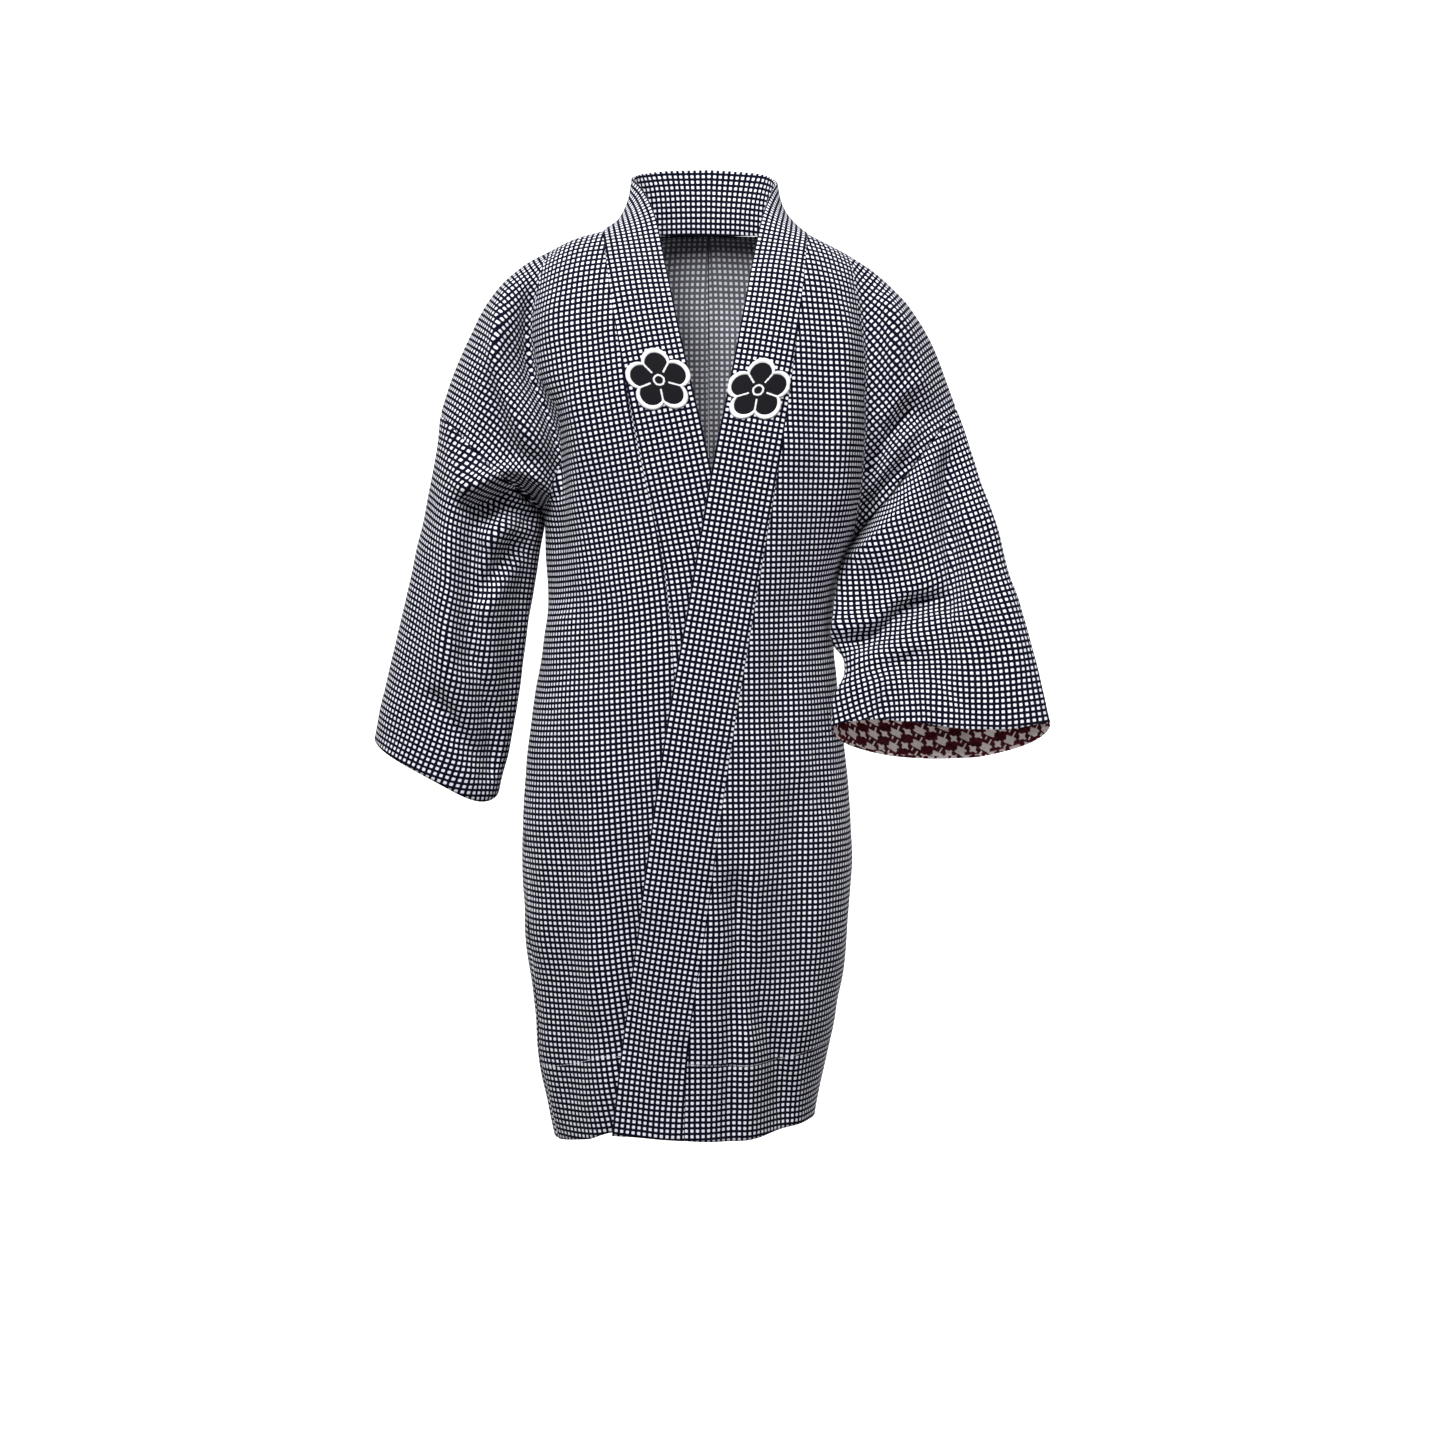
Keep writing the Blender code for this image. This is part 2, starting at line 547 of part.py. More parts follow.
def thick_object(name, bm, wall, finish, collection):
    """The open surface as an object, with its wall added on the inner side."""
    mesh = bpy.data.meshes.new(name)
    bmesh.ops.remove_doubles(bm, verts=bm.verts, dist=0.00002)
    bm.to_mesh(mesh)
    bm.free()
    mesh.shade_smooth()
    mesh.materials.append(finish)
    obj = bpy.data.objects.new(name, mesh)
    collection.objects.link(obj)
    solid = obj.modifiers.new("wall", "SOLIDIFY")
    solid.thickness = wall
    solid.offset = -1
    return obj


def add_grid(bm, grid, turned):
    """Faces over a grid of points. turned faces them the other way."""
    rows, columns = grid.shape[:2]
    points = [bm.verts.new(p) for p in grid.reshape(-1, 3)]
    for row in range(rows - 1):
        for column in range(columns - 1):
            first = row * columns + column
            corners = [first, first + 1, first + columns + 1, first + columns]
            if turned:
                corners.reverse()
            bm.faces.new([points[c] for c in corners])


def grid_object(name, grids, wall, finish, collection, turned=False):
    bm = bmesh.new()
    for grid in grids:
        add_grid(bm, grid, turned)
    return thick_object(name, bm, wall, finish, collection)


def disc_object(name, points, wall, finish, collection, turned):
    """Faces over a middle point and the rings round it."""
    bm = bmesh.new()
    made = [bm.verts.new(p) for p in points]
    for sector in range(PATCH_SECTORS):
        after = (sector + 1) % PATCH_SECTORS
        faces = [[0, 1 + sector, 1 + after]]
        for ring in range(PATCH_RINGS - 1):
            inner, outer = 1 + ring * PATCH_SECTORS, 1 + (ring + 1) * PATCH_SECTORS
            faces.append([inner + sector, outer + sector, outer + after, inner + after])
        for face in faces:
            if turned:
                face.reverse()
            bm.faces.new([made[c] for c in face])
    return thick_object(name, bm, wall, finish, collection)


def build():
    clear_scene()
    coat = bpy.data.collections.new("kimono_coat")
    bpy.context.scene.collection.children.link(coat)
    check = material("checked_cotton", (0.28, 0.29, 0.40), 0.85)
    print_cotton = material("lining_cotton", (0.16, 0.05, 0.06), 0.85)
    black = material("patch_cotton", (0.012, 0.012, 0.014), 0.8)

    for side in (RIGHT, LEFT):
        word = SIDES[side]["word"]
        turned = side == LEFT
        grid_object("body_" + word, body_grids(side), CLOTH, check, coat, turned)
        sleeve = sleeve_grid(side, SLEEVE_SHARES)
        grid_object("sleeve_" + word, [sleeve], CLOTH, check, coat, turned)
        disc_object("patch_" + word, patch_grid(side), PATCH, black, coat, not turned)

    grid_object("collar", [collar_grid()], DOUBLED, check, coat)

    lining_shares = SLEEVE_SHARES[-LINING_ROWS - 1 :] - LINING_SETBACK * np.eye(LINING_ROWS + 1)[-1]
    inside = sleeve_grid(LEFT, lining_shares)
    inside = inside + normals(inside, closed=True) * (CLOTH + SEAM_GAP)
    grid_object("sleeve_lining_left", [inside], LINING, print_cotton, coat, True)


build()
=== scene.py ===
import math

import bmesh
import bpy
import numpy as np
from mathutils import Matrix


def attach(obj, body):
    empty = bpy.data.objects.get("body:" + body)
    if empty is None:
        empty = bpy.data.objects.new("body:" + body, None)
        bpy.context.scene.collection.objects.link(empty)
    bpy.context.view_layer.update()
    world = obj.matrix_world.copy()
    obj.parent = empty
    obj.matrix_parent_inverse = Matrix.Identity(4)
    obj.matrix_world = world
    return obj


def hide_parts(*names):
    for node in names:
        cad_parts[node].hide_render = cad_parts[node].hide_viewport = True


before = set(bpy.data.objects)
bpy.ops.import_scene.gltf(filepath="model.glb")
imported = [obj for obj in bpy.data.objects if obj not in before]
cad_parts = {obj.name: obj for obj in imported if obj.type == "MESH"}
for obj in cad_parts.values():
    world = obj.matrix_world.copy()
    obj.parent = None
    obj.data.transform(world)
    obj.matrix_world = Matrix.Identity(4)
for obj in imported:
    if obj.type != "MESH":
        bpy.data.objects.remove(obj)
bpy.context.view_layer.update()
print("loaded the frame")

right, left = -1, 1  # the wearer's
front, back = -1, 1  # the front faces -Y


def table(columns, rows):
    # named columns, each an array; rows are parted by commas or lines. Lengths are in mm there,
    # and shares, stations, turns in radians and slopes in degrees are as they stand
    plain = {"share", "station", "turn", "slope"}
    rows = [row.split() for row in rows.replace("\n", ",").split(",") if row.strip()]
    values = zip(columns.split(), np.array(rows, float).T)
    return {name: value if name in plain else value / 1000 for name, value in values}


def smooth(where, knots, values):
    # a cubic through the knots, whose slope at each knot comes from the knots beside it
    where = np.clip(where, knots[0], knots[-1]) if knots[0] < knots[-1] else where
    slopes = np.gradient(values, knots)
    low = np.clip(np.searchsorted(knots, where) - 1, 0, len(knots) - 2)
    step = knots[low + 1] - knots[low]
    t = (where - knots[low]) / step
    return (
        values[low] * (1 + 2 * t) * (1 - t) ** 2
        + values[low + 1] * (3 - 2 * t) * t**2
        + step * t * (1 - t) * (slopes[low] * (1 - t) - slopes[low + 1] * t)
    )


def at(line, where, name):
    # a column of a table, at the places where its first column has these values
    return smooth(where, next(iter(line.values())), line[name])


def ramp(value, start, end):
    # 0 before start and 1 after end, with a soft step between them
    t = np.clip((value - start) / (end - start), 0, 1)
    return t * t * (3 - 2 * t)


def signedPower(value, power):
    return np.sign(value) * np.abs(value) ** power


def unit(vectors):
    return vectors / np.maximum(np.linalg.norm(vectors, axis=-1, keepdims=True), 1e-12)


def normals(grid, closed=False):
    # across each point: the cross product of the lines between its neighbours both ways
    if closed:
        padded = np.concatenate([grid[:, -2:-1], grid, grid[:, 1:2]], 1)
        across = np.gradient(padded, axis=1)[:, 1:-1]
    else:
        across = np.gradient(grid, axis=1)
    return unit(np.cross(across, np.gradient(grid, axis=0)))


def arcLength(points, axis):
    # how far each point lies along its line, from the line's first point
    steps = np.linalg.norm(np.diff(points, axis=axis), axis=-1)
    first = np.zeros_like(np.take(steps, [0], axis))
    return np.concatenate([first, np.cumsum(steps, axis)], axis)


def gridFaces(rows, columns):
    index = np.arange(rows * columns).reshape(rows, columns)
    corners = index[:-1, :-1], index[:-1, 1:], index[1:, 1:], index[1:, :-1]
    return np.stack(corners, -1).reshape(-1, 4)


def placed(name, data):
    made = bpy.data.objects.new(name, data)
    bpy.context.scene.collection.objects.link(made)
    return made


def setInputs(node, values):
    for name, value in values.items():
        node.inputs[name].default_value = value


# The camera: the same height, distance and lens as the photograph
view = {
    "target": (0.012, 0.0, -0.409),
    "elevation": 4.0,
    "distance": 2.6,
    "width": 1.2138,  # of the picture, at the target
    "sensor": 36.0,
}


def makeCamera(v):
    data = bpy.data.cameras.new("camera")
    camera = placed("camera", data)
    tilt = math.radians(v["elevation"])
    x, y, z = v["target"]
    away = v["distance"]
    camera.location = (x, y - away * math.cos(tilt), z + away * math.sin(tilt))
    camera.rotation_euler = (math.pi / 2 - tilt, 0, 0)
    data.sensor_width = v["sensor"]
    data.lens = v["sensor"] * away / v["width"]
    data.clip_start, data.clip_end = 0.1, 50
    bpy.context.scene.camera = camera


makeCamera(view)
print("camera")

# The coat's form: rings of the body, the lines of the collar and the rings of the sleeves
coat = {
    "hem": -0.746,
    "roundness": 2.4,
    "seamGap": 0.0002,
    "collarGap": 0.0008,
    "body": table("height centre right left front back", """
        -760 -22 -128 88 98 112
        -700 -21 -141 98 99 112
        -650 -19 -146 108 100 111
        -560 -18 -155 119 101 108
        -490 -17 -156 120 102 105
        -400 -14 -147 111 101 98
        -340 -9 -137 105 99 94
        -300 -4 -134 106 98 92
        -262 0 -135 116 97 91
        -235 0 -136 124 97 90
    """),
    "fronts": table("height rightSeam rightEdge leftEdge leftSeam", """
        -760 -17 38 -80 -21
        -670 -17 38 -70 -17
        -550 -19 36 -54 0
        -490 -21 34 -46 8
        -410 -24 31 -34 20
        -280 -34 18 -11 42
        -262 -37 15 -8 45
        -235 -43 10 -4 50
    """),
    # the side seam turns this far round to the front, in radians past the widest point
    "sideTurn": {
        right: table("height turn", "-760 0.36, -660 0.27, -480 0.26, -400 0, -200 0"),
        left: table("height turn", "-760 0, -200 0"),
    },
    "shoulder": {
        right: table("share x z", """
        0 -86 0, 0.13 -113 -8, 0.25 -136 -19, 0.39 -162 -36, 0.52 -181 -57, 0.7 -200 -90,
        0.865 -213 -123, 1 -223 -151
        """),
        left: table("share x z", """
        0 82 -2, 0.12 102 -12, 0.23 120 -23, 0.37 143 -39, 0.52 165 -59, 0.7 184 -90,
        0.87 199 -123, 1 207 -146
        """),
    },
    "sleeve": {
        right: table("share outerX outerZ innerX innerZ middle halfDepth drop", """
        0 -223 -151 -136 -235 0 56 0
        0.2 -231 -206 -141 -264 -2 53 1
        0.4 -242 -260 -147 -306 -5 52 2
        0.6 -255 -315 -154 -350 -7 52 4
        0.8 -268 -369 -162 -407 -7 51 6
        1 -280 -421 -174 -466 -5 50 8
        """),
        left: table("share outerX outerZ innerX innerZ middle halfDepth drop", """
        0 207 -146 116 -262 0 38 0
        0.17 221 -189 113 -286 -14 36 0
        0.34 235 -234 108 -313 -28 33 -2
        0.52 248 -282 106 -339 -42 30 -4
        0.67 260 -322 112 -357 -53 28 -7
        0.82 270 -360 109 -381 -61 26 -10
        1 281 -405 110 -409 -67 23 -13
        """),
    },
    # the collar's folded edge: station 0 is level with the armpit, 1 at the side of the neck,
    # 2 at the centre back; bow is how far the strip curves out between its edges
    "edge": {
        right: table("station x y z bow", """
        0 10 -97 -235 1
        0.06 3 -96 -199 1
        0.24 -13 -90 -127 2
        0.354 -21 -81 -92 2
        0.595 -33 -56 -36 2
        0.775 -42 -28 6 0
        1 -53 4 33 -3
        1.25 -63 34 48 -4
        1.5 -50 56 54 -3
        1.75 -27 67 57 -2
        2 0 71 58 -2
        """),
        left: table("station x y z bow", """
        0 -8 -97 -262 1
        0.109 3 -96 -199 1
        0.284 17 -89 -130 2
        0.454 27 -76 -78 2
        0.674 36 -52 -30 2
        0.8 43 -28 4 0
        1 51 2 28 -3
        1.25 57 32 43 -4
        1.5 48 55 52 -3
        1.75 27 67 56 -2
        2 0 71 58 -2
        """),
    },
    "word": {right: "right", left: "left"},
    "foot": {right: -0.235, left: -0.262},  # height of the armpits
    "armhole": {right: 0.056, left: 0.038},  # half the armhole's depth
    "neckDepth": 0.063,
    "neckRise": 0.002,
    "neckShare": 7 / 19,  # share of the back's width that ends at the neck
    "fullness": {front: 2.6, back: 1.3},
    "neckPower": 0.8,
    "armholePower": 2.0,
    "powerGrowth": 3,
    "neckBow": 0.28,
    "blades": 0.008,
    "sideDepth": 0.030,
    "sleeveBlend": 0.12,
    "sleeveTurn": 1.6,  # how soon a sleeve's folds are whole on either side of its edges
    "easedSide": 0.10,  # share of a panel's width, from its side, that isn't eased in full
    "collarSettle": 0.25,
    "lapLift": 0.0050,
    "lapRise": 0.005,
    "lapSide": (0.050, 0.100),
    "lapTop": (-0.190, -0.090),
    "lapCorner": (-0.080, 0.040),
    "lapFoot": (-0.746, -0.600),
    "coveredRise": 0.007,
    "covered": (-0.100, -0.075),
    "rightSag": 0.009,
    "rightHem": (0.085, 0.130),
    "leftRise": 0.009,
    "leftHem": (0.020, 0.095),
}


foldSizes = {
    "fine": 8,  # steps of a path between two of its points
    "reach": 3,  # widths from its path to where a fold is left off
    "taper": 4,  # a fold fades with this power of the way from its middle to its ends
}


def folds(face, rows):
    # troughs, or ridges where depth is negative. A row gives a fold's depth and width, how crisp
    # it is, 2 for a soft one and nearer 1 for a pressed one, and the x and z of its path's
    # points; lengths are in mm
    made = []
    for row in filter(str.strip, rows.split("\n")):
        depth, width, crisp, *path = (float(value) for value in row.split())
        points = np.array(path).reshape(-1, 2) / 1000
        steps = np.linalg.norm(np.diff(points, axis=0), axis=1)
        knots = np.concatenate([[0], np.cumsum(steps)])
        if len(points) > 2:
            fine = np.linspace(0, knots[-1], foldSizes["fine"] * (len(points) - 1) + 1)
            points = np.stack([smooth(fine, knots, points[:, k]) for k in (0, 1)], -1)
        made.append({"face": face, "depth": depth / 1000, "width": width / 1000,
                     "crisp": crisp, "path": points})
    return made


# the right chest's and the left one's, where the cloth tucks in beside the arms, then the skirt's;
# the back has folds of the same kinds
bodyFolds = folds(front, """
    15 13 2  -132 -10  -146 -70  -141 -128  -126 -165  -123 -235  -124 -320
    -5 12 2  -104 -100  -105 -194  -106 -300
    -9 16 2  -164 -30  -180 -90  -196 -170

    15 13 2  122 -10  135 -75  138 -141  134 -200  124 -262  108 -320
    -5 12 2  108 -60  112 -141  108 -240
    -9 16 2  158 -40  176 -95  182 -150

    4 12 2  55 -300  60 -400  64 -480
    6 12 2  26 -480  21 -620  18 -830
    11 18 2  61 -450  58 -620  55 -860
    10 16 2  -112 -450  -116 -600  -112 -800
    5 14 2  -62 -400  -66 -560  -58 -760
""") + folds(back, """
    13 14 2  -128 -30  -140 -100  -126 -190  -122 -320
    13 14 2  122 -30  132 -100  120 -200  106 -330
    12 18 2  -92 -280  -104 -520  -98 -860
    7 12 2  -50 -400  -58 -600  -56 -860
    8 14 2  30 -340  22 -560  20 -860
    11 17 2  76 -300  68 -540  56 -860
""")
sleeveFolds = {
    right: folds(front, """
        -7 14 2  -190 -120  -205 -190  -215 -240  -216 -310  -210 -410
        9 11 2  -192 -220  -196 -292  -199 -370
        -8 11 2  -204 -219  -178 -206  -158 -204  -134 -222
        9 10 2  -190 -232  -166 -224  -142 -238
        -5 9 2  -184 -262  -166 -248  -148 -252
        6 8 2  -189 -310  -170 -274  -148 -246
        7 10 2  -200 -340  -187 -385  -180 -460
        5 9 2  -228 -375  -210 -408  -190 -440
    """) + folds(back, """
        10 13 2  -180 -180  -194 -270  -200 -370
        7 12 2  -215 -270  -228 -350  -240 -450
    """),
    left: folds(front, """
        10 10 2  172 -140  152 -176  124 -214
        -6 9 2  176 -164  156 -196  132 -226
        7 9 2  172 -186  150 -214  126 -244
        7 10 2  195 -155  199 -230  201 -295  190 -380
        -6 11 2  205 -200  216 -270  224 -350
        -6 10 2  106 -326  140 -316  160 -296  194 -290
        10 9 2  100 -342  138 -335  160 -314  202 -305
        6 8 2  126 -362  157 -354  178 -345
        6 10 2  162 -345  149 -385  142 -450
        6 10 2  166 -342  177 -385  185 -450
        6 13 2  172 -338  207 -375  244 -450
    """) + folds(back, """
        9 13 2  170 -170  178 -270  170 -370
        7 13 2  205 -260  218 -350  224 -480
    """),
}


def folded(points, given, forward):
    # each fold moves the points near its path in depth, most on the path and less beside it
    # and towards its ends; forward is 1 on the front and -1 on the back
    flat = points.reshape(-1, 3)
    weight = np.broadcast_to(forward, points.shape[:-1]).reshape(-1)
    moved = flat.copy()
    for one in given:
        path, reach = one["path"], foldSizes["reach"] * one["width"]
        low, high = path.min(0) - reach, path.max(0) + reach
        near = ((flat[:, [0, 2]] > low) & (flat[:, [0, 2]] < high)).all(1)
        near &= one["face"] * weight < 0
        if not near.any():
            continue
        starts, runs = path[:-1], np.diff(path, axis=0)
        lengths = np.linalg.norm(runs, axis=1)
        before = np.concatenate([[0], np.cumsum(lengths)])
        offset = flat[near][:, None, [0, 2]] - starts
        along = np.clip((offset * runs).sum(2) / lengths**2, 0, 1)
        gap = np.linalg.norm(offset - along[..., None] * runs, axis=2)
        nearest = gap.argmin(1)
        pick = np.arange(len(gap)), nearest
        share = (before[nearest] + along[pick] * lengths[nearest]) / before[-1]
        profile = np.exp(-((gap[pick] / one["width"]) ** one["crisp"]))
        profile *= 1 - (2 * share - 1) ** foldSizes["taper"]
        profile *= np.clip(-one["face"] * weight[near], 0, 1)
        moved[near, 1] -= one["face"] * one["depth"] * profile
    return moved.reshape(points.shape)


def forwardOfBody(points):
    return np.clip(-points[..., 1] / coat["sideDepth"], -1, 1)


def lapped(points, side):
    # the left front lifts off the right one, which it covers from the crossing down; the hem
    # sags at the right side and rises at the left one and where it's covered
    x, y, z = np.moveaxis(points, -1, 0)
    low, onFront = 1 - ramp(z, *coat["lapFoot"]), ramp(-y, -coat["sideDepth"], coat["sideDepth"])
    if side == left:
        lift = coat["lapLift"] * (1 - ramp(x, *coat["lapSide"])) * (1 - ramp(z, *coat["lapTop"]))
        rise = coat["lapRise"] * (1 - ramp(x, *coat["lapCorner"])) * low * (y < 0)
        rise = rise + coat["leftRise"] * ramp(x, *coat["leftHem"]) * low * onFront
    else:
        lift = 0 * x
        rise = coat["coveredRise"] * ramp(x, *coat["covered"]) * low * (y < 0)
        rise = rise - coat["rightSag"] * ramp(-x, *coat["rightHem"]) * low * onFront
    return points + np.stack([np.zeros_like(x), -lift * (y < 0), rise], -1)


def crumple(points, waves=14, shortest=0.022, longest=0.075):
    # how far each point moves along its normal: a sum of gentle waves in all directions, with
    # seeded directions, lengths and phases
    draw = np.random.default_rng(creases["crumpleSeed"])
    total = np.zeros(points.shape[:-1])
    for _ in range(waves):
        direction = unit(draw.normal(size=3))
        length = draw.uniform(shortest, longest)
        phase = draw.uniform(0, 2 * np.pi)
        total += np.sin(points @ direction * 2 * np.pi / length + phase) * length / longest
    return creases["crumple"] * total / math.sqrt(waves)


def bodyDepth(x, height, side):
    # where the front of the body's ring lies in depth
    body, power = coat["body"], coat["roundness"]
    centre = at(body, height, "centre")
    halfWidth = np.abs(at(body, height, coat["word"][side]) - centre)
    share = np.clip(np.abs(x - centre) / halfWidth, 0, 1)
    return -at(body, height, "front") * (1 - share**power) ** (1 / power)


def bodyRing(side, heights, shares, part):
    # rings as boxy ovals; shares run from the centre back to the side seam on the back part,
    # and from the side seam to the collar seam on the front part
    body, fronts, word = coat["body"], coat["fronts"], coat["word"][side]
    power = coat["roundness"]
    centre, edge, deep, far = (
        at(body, heights, name)[:, None] for name in ("centre", word, "front", "back")
    )
    seam = at(fronts, heights, word + "Seam")[:, None] + side * coat["collarGap"] / 2
    last = np.pi - np.arcsin(signedPower((seam - centre) / (edge - centre), power / 2))
    seamTurn = np.pi / 2 + at(coat["sideTurn"][side], heights, "turn")[:, None]
    if part == back:
        turn = seamTurn * shares[None, :]
    else:
        turn = seamTurn + (last - seamTurn) * shares[None, :]
    x = centre + (edge - centre) * signedPower(np.sin(turn), 2 / power)
    y = signedPower(np.cos(turn), 2 / power)
    y = np.where(y > 0, y * far, y * deep)
    x = x + side * coat["seamGap"] / 2 * (turn < 1e-9)
    return np.stack([x, y, np.broadcast_to(heights[:, None], x.shape)], -1)


def arch(foot, top, power, bow, bulge, face, turns):
    # columns that rise from the foot points and end level at the top points, as quarter ovals
    phi = turns[:, None] * np.pi / 2
    rise, run = np.sin(phi) ** power, np.cos(phi) ** power
    x = foot[:, 0] + (top[:, 0] - foot[:, 0]) * (rise + bow * rise * (1 - rise))
    y = top[:, 1] + (foot[:, 1] - top[:, 1]) * run + face * bulge * np.sin(2 * phi)
    z = foot[:, 2] + (top[:, 2] - foot[:, 2]) * rise
    return np.stack([x, y, z], -1)


def shoulderLine(side, shares):
    line = coat["shoulder"][side]
    x = at(line, shares, "x")
    return np.stack([x, np.zeros_like(x), at(line, shares, "z")], -1)


def neckline(side, shares):
    # from the side of the neck, at share 0, round to the centre back, at share 1
    start = shoulderLine(side, np.zeros(1))[0]
    turn = shares * np.pi / 2
    z = start[2] + (coat["neckRise"] - start[2]) * np.sin(turn)
    return np.stack([start[0] * np.cos(turn), coat["neckDepth"] * np.sin(turn), z], -1)


def archTurns():
    # where the arch's points lie on its quarter oval, closer near its foot
    return np.linspace(0, 1, fineness["archSteps"] + 1) ** fineness["archPower"]


def archShape(side, face, shares):
    # how boxy, bowed and full a column is: shares 0 at the neck, 1 at the armhole
    change = coat["armholePower"] - coat["neckPower"]
    power = coat["neckPower"] + change * shares ** coat["powerGrowth"]
    bulge = coat["armhole"][side] * shares ** coat["fullness"][face]
    return power, coat["neckBow"] * (1 - shares), bulge


def evenRows(grid, rows):
    # the same columns, with points an even length apart
    along = arcLength(grid, 0)
    wanted = np.linspace(0, 1, rows + 1)
    even = np.empty((rows + 1, *grid.shape[1:]))
    for column in range(grid.shape[1]):
        where = wanted * along[-1, column]
        for k in range(3):
            even[:, column, k] = np.interp(where, along[:, column], grid[:, column, k])
    return even


def chest(side, footRow, shares, face, rows):
    # the columns above the armpit: on the front up to the shoulder line, and on the back up to
    # the neckline and the shoulder line; shares are the columns' own
    if face == front:
        toNeck = 1 - shares
        power, bow, bulge = archShape(side, front, toNeck)
        top = shoulderLine(side, toNeck)
    else:
        neck = coat["neckShare"]
        toArm = np.clip((shares - neck) / (1 - neck), 0, 1)
        power, bow, bulge = archShape(side, back, toArm)
        bow = bow * (shares >= neck)
        bulge = bulge + coat["blades"] * (1 - shares)
        onNeck = (shares < neck)[:, None]
        top = np.where(onNeck, neckline(side, 1 - shares / neck), shoulderLine(side, toArm))
        top[0, 0] += side * coat["seamGap"] / 2
    return evenRows(arch(footRow, top, power, bow, bulge, face, archTurns()), rows)


def sleeveFolded(points, shares, own, atArmhole):
    # the sleeve's own folds fade in past the armhole, where it keeps the body's
    turn = np.linspace(0, 2 * np.pi, points.shape[1])[None, :]
    forward = np.clip(np.sin(turn) * coat["sleeveTurn"], -1, 1)
    onSleeve = folded(points, own, forward)
    atSeam = folded(points, atArmhole, forwardOfBody(points))
    return atSeam + (onSleeve - atSeam) * ramp(shares, 0, coat["sleeveBlend"])[:, None, None]


def sleeveGrid(side, shares):
    # rings of a sleeve, each from the underarm forward and over the arm
    rings = coat["sleeve"][side]
    read = {name: at(rings, shares, name)[:, None] for name in rings}
    turn = np.linspace(0, 2 * np.pi, fineness["sleeveColumns"] + 1)[None, :]
    over = (1 - np.cos(turn)) / 2
    x = read["innerX"] + (read["outerX"] - read["innerX"]) * over
    z = read["innerZ"] + (read["outerZ"] - read["innerZ"]) * over
    y = read["middle"] - read["halfDepth"] * np.sin(turn)
    points = np.stack([x, y, z - read["drop"] * np.sin(turn)], -1)
    return sleeveFolded(points, shares, sleeveFolds[side], bodyFolds)


def collarBelow(side, heights, across):
    # the collar below the armpit, on the rings of the body; across is 0 at the seam
    fronts, word = coat["fronts"], coat["word"][side]
    seam = at(fronts, heights, word + "Seam") - side * coat["collarGap"] / 2
    edge = at(fronts, heights, word + "Edge")
    x = seam[:, None] + (edge - seam)[:, None] * across
    z = np.broadcast_to(heights[:, None], x.shape)
    return np.stack([x, bodyDepth(x, z, side), z], -1)


def collarAbove(side, stations, across):
    # the collar from the armpit's height, up the chest and round the neck to the centre back
    fronts, word, foot = coat["fronts"], coat["word"][side], coat["foot"][side]
    x = at(fronts, np.array([foot]), word + "Seam")
    start = np.stack([x, bodyDepth(x, foot, side), [foot]], -1)
    power, bow, bulge = archShape(side, front, np.zeros(1))
    top = shoulderLine(side, np.zeros(1))
    upChest = arch(start, top, power, bow, bulge, front, np.minimum(stations, 1))[:, 0]
    roundNeck = neckline(side, np.clip(stations - 1, 0, 1))
    seam = np.where(stations[:, None] < 1, upChest, roundNeck)
    line = coat["edge"][side]
    edge = np.stack([at(line, stations, name) for name in "xyz"], -1)
    seam = seam + unit(edge - seam) * coat["collarGap"]
    grid = seam[:, None] + (edge - seam)[:, None] * across[:, None]
    swell = at(line, stations, "bow")[:, None] * np.sin(np.pi * across)
    return grid + (normals(grid) * -side) * swell[..., None]


fineness = {
    "skirtRows": 168,
    "chestRows": 96,
    "frontColumns": 62,
    "neckColumns": 32,
    "sleeveRows": 104,
    "sleeveColumns": 128,
    "neckRows": 56,
    "collarColumns": 20,
    "liningRows": 26,
    "closeStep": 0.006,  # share of a panel's width at which its first points lie beside a seam
    "archSteps": 240,
    "archPower": 1.2,
}


def closeEnds(count):
    # even shares from 0 to 1, with one more point close to each end, for the seams
    inner = np.linspace(0, 1, count + 1)[1:-1]
    step = fineness["closeStep"]
    return np.concatenate([[0, step], inner, [1 - step, 1]])


def eased(grid, row, sides, reach=14, rounds=60):
    # softens the bend where the chest's rows begin: each point near that row moves towards the
    # middle of its neighbours above and below; sides is how much each column may move
    weight = np.zeros(len(grid))
    weight[1:-1] = 1 - ramp(np.abs(np.arange(len(grid)) - row)[1:-1], 0, reach)
    weight = weight[1:-1, None, None] * sides[:, None]
    for _ in range(rounds):
        grid[1:-1] += ((grid[2:] + grid[:-2]) / 2 - grid[1:-1]) * 0.5 * weight
    return grid


